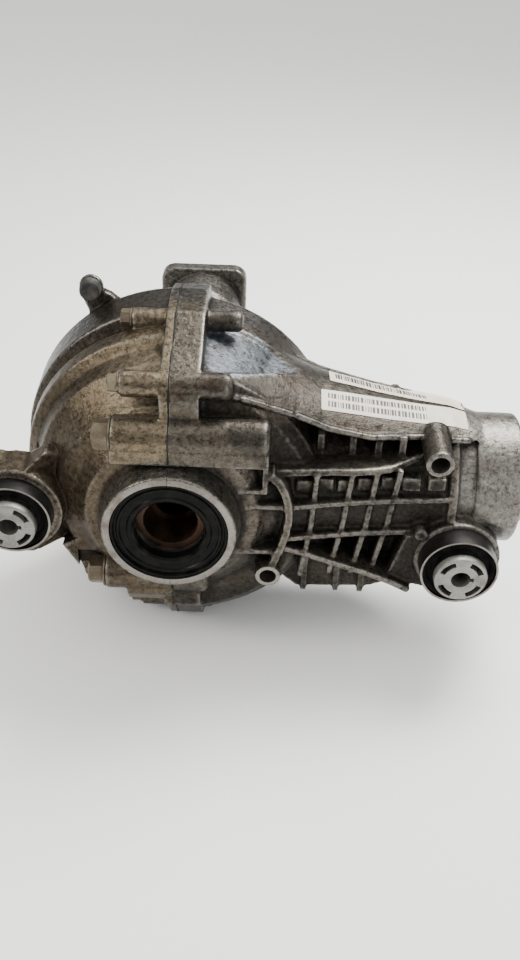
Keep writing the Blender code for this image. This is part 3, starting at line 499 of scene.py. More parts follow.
FILL_PLUG, DRAIN_PLUG, PLUG_SEAT_Y = (-72.0, 22.0), (-58.0, -55.0), 80.0
KNOB, KNOB_NEAR_Y, LUG, SLEEVE = (-60.5, 103.5), 50.0, (62.0, -42.0), (164.0, 43.0)
FRONT_BUSH, FRONT_BUSH_END = (184.5, -32.0), -38.0
REAR_BUSH, REAR_BUSH_END = (-100.0, -3.0), -29.0
BUSH_FACE_Y, BUSH_R = -63.0, 25.0
FRONT_EYE_FACE_Y, EYE_WALL = -50.0, 3.0
REAR_EYE_FACE_Y, REAR_EYE_WALL = -53.0, 5.6
NOSE_R, NOSE_END_X = 43.0, 222.0
TUBE_END_Y = 247.0

OUTPUT_RING = [
    (-57.0, 54.0), (-59.0, 44.5), (BORE_FACE_Y + 0.6, BORE_RING_R + 0.6), (BORE_FACE_Y, BORE_RING_R),
    (BORE_FACE_Y, 0.0),
]
COVER_NEAR = [
    (16.0, 93.5), (10.5, 93.5), (7.0, 101.0), (-5.0, 100.0), (-10.0, 93.0), (-22.0, 90.0), (-29.0, 83.0),
    (-38.0, 76.0), (-43.0, 73.0), (-49.0, 62.0),
] + OUTPUT_RING
CARRIER_NEAR = [(17.0, 98.0), (-38.0, 95.0), (-44.0, 88.0), (-47.0, 66.0)] + OUTPUT_RING
CAVITY = [
    (BORE_FACE_Y - 1, 0.0), (BORE_FACE_Y - 1, 36.8), (-64.0, 36.8), (-64.0, 30.0), (-61.5, 30.0),
    (-61.5, 33.3), (-41.0, 33.3), (-35.0, 60.0), (-22.0, 81.0), (0.0, 88.5), (52.0, 90.0), (61.0, 80.0),
    (64.0, 33.3), (72.0, 33.3), (72.0, 30.0), (HUB_FAR_Y + 1, 30.0), (HUB_FAR_Y + 1, 0.0),
]
FLANGE_OUTLINE = [
    (34.0, 112.8), (2.0, 112.6), (-22.0, 102.0), (-48.0, 96.0), (-56.0, 84.0), (-58.0, 46.0),
    (-60.0, 20.0), (-60.0, -20.0), (-60.0, -46.0), (-60.0, -72.0), (-48.0, -82.0),
    (-30.0, -107.0), (0.0, -110.0), (46.0, -113.4), (66.0, -88.0), (74.0, -66.0), (74.0, 66.0),
    (66.0, 90.0), (52.0, 108.0),
]
SHIELD_EDGE = [(14, 92), (38, 81), (61, 71), (95, 56), (123, 49), (155, 46), (176, 43), (196, 39)]
SHIELD = [
    (12.0, 0.0), (12.0, 106.0), (20.0, 103.0), (38.0, 93.0), (61.0, 82.0), (76.0, 74.5), (92.0, 68.0),
    (106.0, 64.5), (128.0, 59.0), (155.0, 53.5), (176.0, 50.0), (196.0, 43.4), (196.0, 0.0),
]
CORE = [
    (40.0, 0.0), (40.0, 56.0), (75.0, 51.0), (100.0, 48.0), (128.0, 44.5), (155.0, 42.0), (174.0, 42.0),
    (175.0, 45.5), (180.0, 45.5), (181.0, 40.5), (191.0, 40.5), (192.5, NOSE_R), (NOSE_END_X - 1.5, NOSE_R),
    (NOSE_END_X, NOSE_R - 1.5), (NOSE_END_X, 0.0),
]


def casing_blank(radius, near, side, flange_width):
    """The drum and flange of one half, and the cutter that parts it from the other."""
    far = [(HUB_FAR_Y, 0.0), (HUB_FAR_Y, 48.0), (76.0, 52.0), (68.0, 83.0), (57.0, radius - 3.0),
           (50.0, radius), (20.0, radius - 1.0)]
    solids = [
        turned("drum", far + near, "Y"),
        prism("flange", "X", FLANGE_OUTLINE, side * -3.0, side * flange_width),
    ]
    for y, z, _, radius, seat, end in COVER_BOLTS:
        if side < 0:
            solids.append(rod("boss", "X", seat, 2.0, radius, (y, z)))
        else:
            domed = [(-2.0, 0.0), (-2.0, radius), (end - 3.5, radius), (end - 1.2, radius * 0.85),
                     (end, radius * 0.5), (end, 0.0)]
            solids.append(turned("boss", domed, "X", (y, z), SMALL))
    ends = sorted((side * -BLANK_SIDE, side * SPLIT))
    waste = box("waste", (ends[0], -BLANK_SIDE, -BLANK_SIDE), (ends[1], BLANK_SIDE, BLANK_SIDE))
    return solids, waste


def side_ribs(flip):
    """Ribs of one side of the pinion housing; flip is 1 on the bore side and -1 on the far side."""

    def rib(points, low, high):
        return prism("rib", "Z", points if flip > 0 else [(x, -y) for x, y in points], low, high)

    def wall(points, thickness, low, high):
        return prism("wall", "Y", strip(points, thickness), *sorted((flip * low, flip * high)))

    solids = [
        rib([(61, -10), (61, -54), (86, -51.5), (110, -50), (124, -48.5), (136, -45), (147, -37), (157, -29),
             (157, -10)], 31, 35.5),
        rib([(72, -20), (72, -58), (98, -53), (121, -49), (150, -46), (196, -41), (196, -20)], -16.8, -13),
        wall([(61, 36), (67, 30), (70.5, 23), (73, 14), (73.8, 4), (72.5, -8), (69, -22), (62, -41)], 5.0,
             -60.5, -28),
    ]
    rings = [(90, 83, -52.5), (112, 102, -49.5), (127.5, 117, -47.5), (142, 130, -45.5)]
    if flip > 0:
        solids += [
            rib([(36, -20), (36, -59), (74, -59), (98, -54), (121, -50), (150, -47), (177, -44.5),
                 (177, -20)], 9, 12.6),
            rib([(36, -20), (36, -59), (70, -59), (70, -20)], -27, -23.2),
            wall([(66, -24), (84, -29), (100, -35), (124, -43), (143, -51), (156, -58)], 4.2, -54.5, -15),
        ]
    else:
        rings = rings[::2]
    for top, bottom, reach in rings:
        solids.append(wall([(top, 33), ((top + bottom) / 2 + 1.5, -8), (bottom, -50)], 3.6, reach, -20))
    return solids


def pocket_blocks():
    """Small cast steps on the floor of the pockets between the ribs."""
    solids = []
    for x, width, depth in ((82, 9, 51.5), (97, 8, 49), (106, 5, 49.5), (120, 8, 47), (135, 8, 45),
                            (150, 11, 45.5), (166, 11, 44.5)):
        solids.append(box("step", (x - width / 2, -depth + 3, 16), (x + width / 2, -25, 25)))
    for x, width, depth in ((94, 12, 50), (115, 10, 47.5), (130, 8, 46)):
        solids.append(box("step", (x - width / 2, -depth + 3, -9), (x + width / 2, -25, -3)))
    return solids


def shield():
    """The saddle over the pinion housing, with a rolled lip along its lower edge on both sides."""
    funnel = turned("shield", SHIELD, "X")
    below = [(-20.0, SHIELD_EDGE[0][1])] + SHIELD_EDGE + [(240.0, 39.0), (240.0, -150.0), (-20.0, -150.0)]
    under = prism("under", "Y", below, -200, 200)
    recess = prism("recess", "Z", [(-20, -64), (20, -41), (79, 0), (74, 48), (-20, 64)], 30, 200)
    ramp_edge = [(-30, 30), (50, 30), (56, 78.6), (66, 76.5), (76, 74.3), (82, 73.2), (82, 210), (-30, 210)]
    above_ramp = prism("above_ramp", "Y", ramp_edge, -90, 90)
    combine(recess, [above_ramp], "INTERSECT")
    combine(funnel, [under, recess], "DIFFERENCE")
    edge_x, edge_z = np.array(SHIELD_EDGE).T
    shape_x, shape_r = np.array(SHIELD[1:-1]).T
    solids = [funnel]
    for flip in (-1, 1):
        path = []
        for x in np.arange(16.0, 190.0, 3.0):
            z = np.interp(x, edge_x, edge_z) + 0.6
            radius = np.interp(x, shape_x, shape_r)
            path.append(place("X", x, flip * math.sqrt(radius * radius - z * z), z))
        solids.append(cord("lip", path, 2.1))
    return solids


def cord(name, path, radius, sides=10, paints=()):
    """A round strip along a path of row-frame points."""
    rings = []
    for i, point in enumerate(path):
        along = (path[min(i + 1, len(path) - 1)] - path[max(i - 1, 0)]).normalized()
        other = Vector((1.0, 0.0, 0.0)) if abs(along.x) < 0.9 else Vector((0.0, 1.0, 0.0))
        side = along.cross(other).normalized()
        up = along.cross(side)
        thick = radius(i) if callable(radius) else radius
        rings.append([point + (side * math.cos(turn) + up * math.sin(turn)) * thick * MM
                      for turn in (2 * math.pi * j / sides for j in range(sides))])
    return lofted(name, rings, paints=paints)


def carrier_tint(x, y, z):
    """Base colours of the carrier: bluish roof, taupe shield and a pale nose; its mask darkens the pockets with
    painted shade and grime.
    """
    tint = flat_tint(x, (0.155, 0.137, 0.112))
    radius, radius_y = np.hypot(y, z), np.hypot(x, z)
    roof = ramp(x, 13, 18) * ramp(-x, -82, -62) * ramp(z, 62, 70) * ramp(-radius, -101, -96)
    roof = roof * (1 - ramp(x + 1.35 * np.abs(y), 78, 84))
    outside = ramp(radius - np.interp(x, *np.array(SHIELD[1:-1]).T), -3.0, -1.5)
    shield_side = ramp(x, 16, 24) * outside * ramp(z, 36, 42) * ramp(-x, -182, -176)
    tint = blend(tint, shield_side, (0.095, 0.086, 0.073))
    tint = blend(tint, roof, (0.17, 0.19, 0.215))
    nose = ramp(x, 176, 182)
    tint = blend(tint, nose, (0.27, 0.258, 0.235))
    # The mask paints shade with grime: darker in the pockets between the ribs, under the saddle behind the boss
    # and on the saddle's sides, and darker towards the bottom and on the front arm; lighter on the roof and the
    # nose.
    pockets = ramp(x, 58, 66) * (1 - ramp(x, 172, 178)) * (1 - ramp(z, 30, 34)) * ramp(-radius, -60, -48)
    behind_boss = ramp(x, 52, 62) * (1 - ramp(x, 150, 165)) * ramp(z, 28, 34) * (1 - ramp(z, 60, 68))
    behind_boss = behind_boss * (1 - outside)
    drum = ramp(y, 14, 22) * ramp(radius, 80, 90)
    tint = blend(tint, drum, (0.085, 0.08, 0.075))
    ring = ramp(-y, 58, 62) * ramp(-radius_y, -52, -47)
    tint = blend(tint, ring, (0.20, 0.19, 0.165))
    arm = ramp(x, 138, 146) * (1 - ramp(x, 212, 218)) * ramp(-y, 33, 38)
    arm = arm * (1 - ramp(z, -12, -6)) * ramp(z, -70, -62)
    low = ramp(-z, 20, 70) * (1 - nose)
    grime_and_shade = 1.0 * pockets + 1.0 * behind_boss + 0.85 * low + 0.2 * shield_side - 0.5 * roof - 0.45 * nose
    grime_and_shade += 1.1 * arm
    return tint, grime_and_shade


def cover_tint(x, y, z):
    """Base colours of the cover: golden beige near the flange and a dark grey-brown rim; its mask darkens the
    groove with painted shade and grime, and the lower part and outer end.
    """
    tint = flat_tint(x, (0.155, 0.124, 0.086))
    radius = np.hypot(x, z)
    near_flange = ramp(x, -46, -20) * ramp(z, 20, 50)
    tint = blend(tint, near_flange, (0.25, 0.205, 0.14))
    rim = ramp(y, 14, 20)
    tint = blend(tint, rim, (0.088, 0.08, 0.071))
    ring = ramp(-y, 58, 62) * ramp(-radius, -52, -47)
    tint = blend(tint, ring, (0.20, 0.19, 0.165))
    groove = ramp(y, 6, 9) * (1 - rim) * ramp(-radius, -100, -95)
    # The mask paints shade with grime in the groove before the rim, and makes the lower part and the outer end
    # darker.
    grime_and_shade = 0.30 * ramp(-z, -10, 60) + 0.3 * ramp(-x, 45, 80) * (1 - rim) - 0.15 * near_flange + 0.8 * groove
    return tint, grime_and_shade


def carrier_casting():
    solids, waste = casing_blank(DRUM_R, CARRIER_NEAR, 1, CARRIER_FLANGE)
    solids += [turned("core", CORE, "X")] + shield()
    solids += [
        prism("facet", "Y", [(-3, 45.5), (60, 45.5), (60, 55), (-3, 55)], -67.2, -52),
        box("pocket_floor", (41, -50, 21), (60, -28, 46)),
        box("pocket_side", (56.5, -59.5, 21), (60, -28, 46)),
        box("pocket_sill", (41, -59.5, 21), (60, -28, 24.5)),
        box("web", (50, -16, 20), (158, 16, 50)),
        prism("belly", "Y", [(60, -30), (66, -62), (82, -76), (132, -74), (160, -62), (176, -40), (176, -20)],
              -32, 32),
    ]
    for x in (92, 112, 128, 143):
        solids.append(box("post", (x - 2.2, -33, 25), (x + 2.2, 33, 50)))
    for x in (87, 109, 126):
        solids.append(box("keel", (x - 2, -34, -78), (x + 2, 34, -40)))
    solids += side_ribs(1) + side_ribs(-1) + pocket_blocks()
    solids += [
        rod("lug", "Y", -63, -25, 8.4, LUG),
        rod("lug", "Y", 25, 63, 8.4, LUG),
        rod("sleeve", "Y", -52, -10, 9.0, SLEEVE),
        rod("peg", "Y", -51, -30, 4.0, (159, -13)),
        rod("eye", "Y", FRONT_EYE_FACE_Y, FRONT_BUSH_END, BUSH_R + EYE_WALL, FRONT_BUSH, ROUND),
        prism("arm", "Y", [(140, -52), (168, -59), (208, -50), (208, -18), (196, -10), (150, -16)],
              FRONT_EYE_FACE_Y + 2, -20),
    ]
    body = fused("carrier_casting", solids, CAST_VOXEL, 5)
    sealant_bead(body)
    roughened(body, 0.35, 5.0)
    pinion_bore = [
        (40.0, 0.0), (40.0, 37.5), (92.0, 37.5), (92.0, 36.3), (110.5, 36.3), (110.5, 30.0), (160.0, 28.0),
        (160.0, 25.5), (163.0, 25.5), (163.0, 30.3), (182.0, 30.3), (183.0, 34.3), (NOSE_END_X + 2, 34.3),
        (NOSE_END_X + 2, 0.0),
    ]
    cutters = [
        waste,
        turned("cavity", CAVITY, "Y"),
        turned("pinion_bore", pinion_bore, "X"),
        rod("bore", "Y", -150, FRONT_BUSH_END + 1.0, BUSH_R + 0.2, FRONT_BUSH, ROUND),
        rod("lug_hole", "Y", -80, -45, 5.4, LUG),
        rod("lug_hole", "Y", 45, 80, 5.4, LUG),
        rod("sleeve_hole", "Y", -80, -28, 5.8, SLEEVE),
        box("lug_face", (50, -80, -54), (74, -62.4, -30)),
        box("ring_face", (-60, -90, -60), (60, BORE_FACE_Y + 0.2, 60)),
    ]
    cutters += bolt_holes(1) + tube_holes(1)
    machine(body, CAST_ALLOY, cutters)
    paint_casting(body, carrier_tint)
    return attach(body, "housing", "cast_grey", "carrier_housing")


def bolt_holes(side):
    holes = []
    for y, z, shank, _, seat, end in COVER_BOLTS:
        low, high = (seat - 5.0, 5.0) if side < 0 else (-5.0, end - 5.0)
        holes.append(rod("hole", "X", low, high, shank + HOLE_PLAY, (y, z), 32))
    return holes


def tube_screw_places():
    for degrees in TUBE_SCREW_DEG:
        angle = math.radians(degrees)
        yield TUBE_SCREW_CIRCLE_R * math.cos(angle), TUBE_SCREW_CIRCLE_R * math.sin(angle)


def tube_holes(side):
    places = [at for at in tube_screw_places() if at[0] * side > 0]
    radius = TUBE_SCREW_R + HOLE_PLAY
    return [rod("hole", "Y", HUB_FAR_Y - 9, HUB_FAR_Y + 5, radius, at, 32) for at in places]


def cover_casting():
    solids, waste = casing_blank(COVER_DRUM_R, COVER_NEAR, -1, COVER_FLANGE)
    rim = [(-96, 24), (-110, 28), (-127.5, 20), (-130.4, -8), (-121, -28), (-108, -36), (-70, -38),
           (-60, -28), (-60, 22), (-80, 34)]
    neck = [(-46, 78), (-62, 82), (-68, 98), (-60, 104), (-48, 98), (-36, 88)]
    arm = prism("arm", "Y", rim, REAR_EYE_FACE_Y, REAR_BUSH_END)
    slant = [(-106, -68), (-72, -34), (-50, -34), (-50, -90), (-106, -90)]
    combine(arm, [prism("slant", "Z", slant, -60, 60)], "DIFFERENCE")
    solids += [
        prism("facet", "Y", [(3, 45.5), (-35, 45.5), (-35, 55), (3, 55)], -67.2, -52),
        arm,
        rod("eye", "Y", REAR_EYE_FACE_Y, REAR_BUSH_END, BUSH_R + REAR_EYE_WALL, REAR_BUSH, ROUND),
        rod("knob", "Y", KNOB_NEAR_Y + 0.4, 54, 8.0, KNOB),
        prism("neck", "Y", neck, KNOB_NEAR_Y + 1, 58),
        rod("fill_boss", "Y", 60, PLUG_SEAT_Y, PLUG_BOSS_R, FILL_PLUG),
        rod("drain_boss", "Y", 55, PLUG_SEAT_Y, PLUG_BOSS_R, DRAIN_PLUG),
        prism("web", "Y", [(-60, -28), (-74, -36), (-58, -64), (-44, -60)], -46, -20),
        prism("pad", "X", [(-61, -46), (-63, -61), (-56, -71), (-40, -75), (-40, -46)], -30, -0.5),
    ]
    body = fused("cover_casting", solids, CAST_VOXEL, 5)
    roughened(body, 0.4, 4.0)
    cutters = [
        waste,
        turned("cavity", CAVITY, "Y"),
        rod("bore", "Y", -150, REAR_BUSH_END + 20.0, BUSH_R + 0.2, REAR_BUSH, ROUND),
        rod("fill_hole", "Y", 50, PLUG_SEAT_Y + 5, PLUG_HOLE_R, FILL_PLUG),
        rod("drain_hole", "Y", 50, PLUG_SEAT_Y + 5, PLUG_HOLE_R, DRAIN_PLUG),
        box("plug_face", (-92, PLUG_SEAT_Y - 0.1, -75), (-43, PLUG_SEAT_Y + 3, 40)),
        box("ring_face", (-60, -90, -60), (60, BORE_FACE_Y + 0.2, 60)),
    ]
    spot_faces = [rod("spot_face", "X", seat - 20, seat, SPOT_FACE_R[shank], (y, z))
                  for y, z, shank, _, seat, _ in COVER_BOLTS]
    cutters += bolt_holes(-1) + tube_holes(-1)
    machine(body, COVER_ALLOY, cutters, spot_faces)
    paint_casting(body, cover_tint)
    return attach(body, "housing", "cast_tan", "cover_housing")


def sealant_bead(casting):
    """The sealant squeezed out of the joint between the halves: an uneven bead round its outline."""
    bm = bmesh.new()
    bm.from_mesh(casting.data)
    cut = bmesh.ops.bisect_plane(bm, geom=bm.verts[:] + bm.edges[:] + bm.faces[:],
                                 plane_co=place("X", 0.4, 0, 0), plane_no=(1, 0, 0))["geom_cut"]
    edges = [item for item in cut if isinstance(item, bmesh.types.BMEdge)]
    links = {}
    for edge in edges:
        for vert in edge.verts:
            links.setdefault(vert, []).append(edge.other_vert(vert))
    loops, seen = [], set()
    for start in links:
        if start in seen:
            continue
        loop, here = [start], start
        seen.add(start)
        while True:
            ahead = [vert for vert in links[here] if vert not in seen]
            if not ahead:
                break
            here = ahead[0]
            seen.add(here)
            loop.append(here)
        loops.append([vert.co.copy() for vert in loop])
    path = max(loops, key=len)[::3]
    bm.free()

    def bare(point):
        """Whether the bead would lie on the output bore's own ring."""
        across = (point - ORIGIN) / MM
        return across.y < -56 and abs(across.z) < 46

    first = next(i for i, point in enumerate(path) if bare(path[i - 1]) and not bare(point))
    path = [point for point in path[first:] + path[:first] if not bare(point)]
    draw = random.Random(5)
    thick = [0.55 + 0.2 * math.sin(i * 0.7) * math.sin(i * 0.23) + draw.uniform(-0.12, 0.2)
             for i in range(len(path))]
    path = [Vector((ORIGIN.x, point.y, point.z)) for point in path]
    bead = cord("sealant_bead", path, lambda i: thick[i], 8, [SEALANT])
    return attach(bead, "housing", "rubber")


def axle_tube():
    near = HUB_FAR_Y + 0.3
    end = TUBE_END_Y
    tube = [
        (near, 0.0), (near, 48.0), (near + 9, 48.0), (near + 12, 34.0), (near + 22, 28.0), (190.0, 27.0),
        (205.0, 31.5), (end - 2, 31.5), (end - 2, 0.0),
    ]
    plate = []
    half, corner = 35.9, 11.0
    for i in range(64):
        angle = 2 * math.pi * i / 64
        c, s = math.cos(angle), math.sin(angle)
        plate.append((math.copysign(half - corner, c) + corner * c,
                      math.copysign(half - corner, s) + corner * s))
    solids = [
        turned("tube", tube, "Y"),
        prism("plate", "Y", plate, end - 12, end),
        box("rib", (-2.5, near + 4, 20), (2.5, end - 9, 31)),
        box("rib", (-2.5, near + 4, -31), (2.5, end - 9, -24)),
    ]
    body = fused("axle_tube_casting", solids, 1.1, 4)
    roughened(body, 0.3, 5.0)
    bore = [(near - 1, 0.0), (near - 1, 21.0), (end - 12, 21.0), (end - 12, 26.0), (end + 1, 26.0),
            (end + 1, 0.0)]
    cutters = [turned("bore", bore, "Y"), box("end_face", (-50, end - 0.1, -50), (50, end + 5, 50))]
    for at in tube_screw_places():
        cutters.append(rod("hole", "Y", near - 5, near + 15, TUBE_SCREW_R + HOLE_PLAY, at, 32))
        cutters.append(rod("spot", "Y", near + 9.2, near + 16, 7.2, at))
    for u in (-26.0, 26.0):
        for v in (-26.0, 26.0):
            cutters.append(rod("hole", "Y", end - 9, end + 5, 4.5, (u, v)))
    machine(body, CAST_ALLOY, cutters)

    def tint_of(x, y, z):
        # The mask makes the tube darker towards the bottom.
        return flat_tint(x, (0.22, 0.21, 0.19)), -0.1 + 0.3 * ramp(-z, 0, 30)

    paint_casting(body, tint_of)
    return attach(body, "housing", "cast_grey", "axle_tube")


# ---------------- fasteners

def hexagon(across_flats):
    radius = across_flats / 2 / math.cos(math.pi / 6)
    return [(radius * math.cos(math.pi / 3 * i), radius * math.sin(math.pi / 3 * i)) for i in range(6)]


def screw(name, axis, centre, seat, tip, shank, flats, height, collar, turn=0.0):
    """A flanged hexagon screw with a chamfered, slightly hollow head and a thread on its end."""
    way = 1.0 if seat > tip else -1.0
    face = seat + way * 0.1
    thread, along = [], tip + way * 1.0
    while abs(face - along) > abs(face - tip) * 0.35:
        thread += [(along, shank), (along + way * 0.6, shank - 0.55)]
        along += way * 1.2
    profile = [(tip, 0.0), (tip, shank - 0.8)] + thread
    profile += [(along, shank), (face, shank), (face, collar - 0.4)]
    profile += [(face + way * 0.3, collar), (face + way * 1.2, collar), (face + way * 1.9, collar - 1.4),
                (face + way * 1.9, 0.0)]
    body = turned(name, profile, axis, centre, SMALL)
    outline = []
    for u, v in hexagon(flats):
        outline.append((centre[0] + u * math.cos(turn) - v * math.sin(turn),
                        centre[1] + u * math.sin(turn) + v * math.cos(turn)))
    head = prism("head", axis, outline, *sorted((face + way * 0.8, face + way * height)))
    top = face + way * height
    dome = [(face - way * 1.0, 0.0), (face - way * 1.0, flats), (top - way * flats * 0.22, flats * 0.70),
            (top, flats * 0.47), (top, flats * 0.36), (top - way * 0.7, flats * 0.30), (top - way * 0.7, 0.0)]
    combine(head, [turned("dome", dome, axis, centre, SMALL)], "INTERSECT")
    combine(body, [head], "UNION")
    clad(body, PLATED)
    return body


def screws():
    for index, (y, z, shank, _, seat, end) in enumerate(COVER_BOLTS):
        node = f"cover_bolt_{index + 1}"
        made = screw(node + "_screw", "X", (y, z), seat, end - 8.0, shank, *COVER_BOLT_HEADS[shank],
                     0.4 * index)
        attach(made, "housing", "zinc", node)
    for index, at in enumerate(tube_screw_places()):
        node = f"tube_bolt_{index + 1}"
        made = screw(node + "_screw", "Y", at, HUB_FAR_Y + 9.5, HUB_FAR_Y - 6, TUBE_SCREW_R, 8.0, 5.5, 5.2,
                     0.3 * index)
        attach(made, "housing", "zinc", node)


def plug(node, at):
    seat = PLUG_SEAT_Y + 0.3
    profile = [(seat - 8.3, 0.0), (seat - 8.3, 9.0), (seat, 9.0), (seat, 12.0), (seat + 2.7, 12.0),
               (seat + 3.2, 11.4), (seat + 3.2, 0.0)]
    body = turned(node + "_body", profile, "Y", at, SMALL, [TURNED_STEEL])
    socket = [(u + at[0], v + at[1]) for u, v in hexagon(8.0)]
    combine(body, [prism("socket", "Y", socket, seat - 2.5, seat + 6)], "DIFFERENCE")
    return attach(body, "housing", "steel", node)


# ---------------- bushes, seals and shafts

def arc_slot(inner, outer, middle_deg, span_deg, steps=12):
    """The outline of a slot that follows an arc about the axis."""
    angles = [math.radians(middle_deg + span_deg * (i / steps - 0.5)) for i in range(steps + 1)]
    outline = [(outer * math.cos(a), outer * math.sin(a)) for a in angles]
    return outline + [(inner * math.cos(a), inner * math.sin(a)) for a in angles[::-1]]


def bush(prefix, at, far, key_turn):
    """A rubber bush: bright sleeve, moulded rubber with a rolled lip, and a slotted end plate on its core."""
    near = BUSH_FACE_Y
    inner = BUSH_R - 1.5
    sleeve = [(near - 0.6, BUSH_R), (far + 0.6, BUSH_R), (far + 0.6, inner), (near - 0.6, inner)]
    ring = turned(prefix + "_ring", softened(sleeve + sleeve[:1], 0.5)[:-1], "Y", at, ROUND,
                  [DARK_SLEEVE, MILLED])
    for face in ring.data.polygons:
        face.material_index = MACHINED if face.normal.y < -0.7 else 0
    attach(ring, "housing", "steel", prefix + "_sleeve")
    outer = BUSH_R - 1.8
    rubber = [
        (near + 1.6, outer), (far - 2.5, outer), (far - 5.0, 9.3), (near + 0.5, 9.3), (near + 1.6, 12.5),
        (near + 6.0, 15.0), (near + 7.2, 17.5), (near + 6.2, 20.0), (near + 2.2, outer - 1.0),
    ]
    moulding = turned(prefix + "_moulding", rubber, "Y", at, ROUND, [MATT_RUBBER])
    attach(moulding, "housing", "rubber", prefix + "_rubber")
    face = near - 7.5
    core = [
        (face + 0.3, 0.0), (face + 0.3, 7.6), (face, 8.2), (face, 15.8), (face + 0.35, 16.6),
        (face + 1.2, 17.0),
        (face + 5.0, 17.0), (face + 5.0, 9.0), (far + 0.6, 9.0), (far + 0.6, 0.0),
    ]
    plate = turned(prefix + "_plate", core, "Y", at, ROUND, [DISC_ALLOY])
    tools = [rod("hole", "Y", face - 2, far + 3, 6.2, at)]
    for middle in (45, 135, 225, 315):
        outline = [(u + at[0], v + at[1]) for u, v in arc_slot(11.3, 14.9, middle, 48)]
        tools.append(prism("slot", "Y", outline, face - 1, face + 6))
    notch = [(u + at[0], v + at[1]) for u, v in arc_slot(0.5, 8.4, key_turn, 22, 4)]
    tools.append(prism("notch", "Y", notch, face - 1, face + 6))
    combine(plate, tools, "DIFFERENCE")
    return attach(plate, "housing", "bush_alloy", prefix + "_core")


def seal(node, axis, low, high, outer, lip, paint):
    """A shaft seal: outer case, stepped face, garter spring bulge and sharp lip."""
    way = 1.0 if high > low else -1.0
    deep = abs(high - low)
    profile = [
        (low + way * 0.3, outer), (high, outer), (high, outer - 2.0), (low + way * 3.0, outer - 2.2),
        (low + way * 3.4, lip + 5.4), (high - way * 2.0, lip + 3.6), (high - way * 0.6, lip + 1.6),
        (high - way * 1.0, lip), (low + way * deep * 0.55, lip + 1.0), (low + way * 2.4, lip + 0.6),
        (low + way * 1.2, lip + 1.8), (low + way * 1.0, lip + 4.2), (low + way * 1.8, lip + 5.0),
        (low + way * 1.8, outer - 6.2), (low + way * 0.9, outer - 5.6), (low + way * 0.9, outer - 4.2),
        (low + way * 1.9, outer - 3.4), (low + way * 1.9, outer - 2.4), (low, outer - 1.6),
        (low, outer - 0.4),
    ]
    made = turned(node + "_ring", profile, axis, paints=[paint])
    return attach(made, "housing", "rubber", node)


def breather():
    base = KNOB_NEAR_Y - 0.3
    cap = [(base - 7.2, 0.0), (base - 7.2, 5.6), (base - 6.5, 6.6), (base - 3.7, 7.1), (base, 7.2),
           (base, 0.0)]
    body = turned("breather_cap_body", cap, "Y", KNOB, SMALL, [CAP_PLASTIC])
    return attach(body, "housing", "black_cap", "breather_cap")


def nose_parts():
    """The input flange and its nut, seen in the mouth of the nose."""
    flange = [
        (187.5, 12.3), (187.5, 20.0), (212.0, 20.0), (214.0, 26.0), (220.0, 32.0), (226.2, 32.0),
        (227.0, 31.2),
        (227.0, 22.0), (226.0, 21.0), (226.0, 19.4), (216.5, 17.5), (216.5, 12.3),
    ]
    body = turned("input_flange_body", flange, "X", paints=[TURNED_STEEL])
    holes = []
    for i in range(4):
        angle = math.radians(45 + 90 * i)
        holes.append(rod("hole", "X", 205, 240, 3.4, (25.5 * math.cos(angle), 25.5 * math.sin(angle)), 32))
    combine(body, holes, "DIFFERENCE")
    attach(body, "pinion", "steel", "input_flange")
    nut = prism("pinion_nut_body", "X", hexagon(27.0), 216.8, 226.0)
    dome = [(210.0, 0.0), (210.0, 30.0), (222.0, 17.8), (226.0, 13.2), (226.0, 0.0)]
    combine(nut, [turned("dome", dome, "X")], "INTERSECT")
    combine(nut, [rod("hole", "X", 210, 230, 9.8)], "DIFFERENCE")
    clad(nut, PLATED)
    attach(nut, "pinion", "steel", "pinion_nut")


def output_shaft():
    shaft = [(16.0, 0.0), (16.0, 12.0), (17.0, 12.7), (74.0, 12.7), (80.0, 14.0), (228.0, 14.0),
             (229.0, 16.5), (242.2, 16.5), (243.0, 15.8), (243.0, 9.0), (238.0, 8.0), (238.0, 0.0)]
    body = turned("intermediate_shaft_body", shaft, "Y", paints=[TURNED_STEEL])
    return attach(body, "far_output", "steel", "intermediate_shaft")


# ---------------- labels

def label(name, casting, x_span, left_angles, right_angles, rows, seed):
    """A creased paper label laid on the shield, printed with rows of plain bars only.

    Angles are about the pinion axis, from straight up towards the bore side, at the label's two ends.
    """
    mesh = casting.data
    tree = BVHTree.FromPolygons([v.co for v in mesh.vertices], [p.vertices for p in mesh.polygons])
    columns, lines = 180, 30
    draw = random.Random(seed)
    bars, column = [False] * (columns + 1), 8
    while column < columns * 0.72:
        width = draw.choice((1, 2, 2, 3))
        for i in range(column, min(column + width, columns)):
            bars[i] = True
        column += width + draw.choice((1, 1, 2))
    bm = bmesh.new()
    grid = []
    for i in range(columns + 1):
        share = i / columns
        x = x_span[0] + (x_span[1] - x_span[0]) * share
        column = []
        for j in range(lines + 1):
            low = left_angles[0] + (right_angles[0] - left_angles[0]) * share
            high = left_angles[1] + (right_angles[1] - left_angles[1]) * share
            angle = math.radians(low + (high - low) * j / lines)
            out = Vector((0.0, -math.sin(angle), math.cos(angle)))
            start = place("X", x, 0, 0) + out * 0.12
            hit = tree.ray_cast(start, -out, 0.12)[0]
            lift = 0.28 + 0.10 * math.sin(share * 9 + j * 0.15)
            column.append(bm.verts.new(hit + out * lift * MM))
        grid.append(column)
    ends = (2, columns - 2)
    for i in range(columns):
        for j in range(lines):
            if (i in (0, columns - 1)) and (j in (0, lines - 1)):
                continue
            face = bm.faces.new((grid[i][j], grid[i + 1][j], grid[i + 1][j + 1], grid[i][j + 1]))
            inked = bars[i] and any(low <= j < high for low, high in rows)
            face.material_index = 1 if inked and ends[0] < i < ends[1] else 0
    made = mesh_object(name, bm, [LABEL_STOCK, LABEL_INK])
    return attach(made, "housing", "cast_grey")


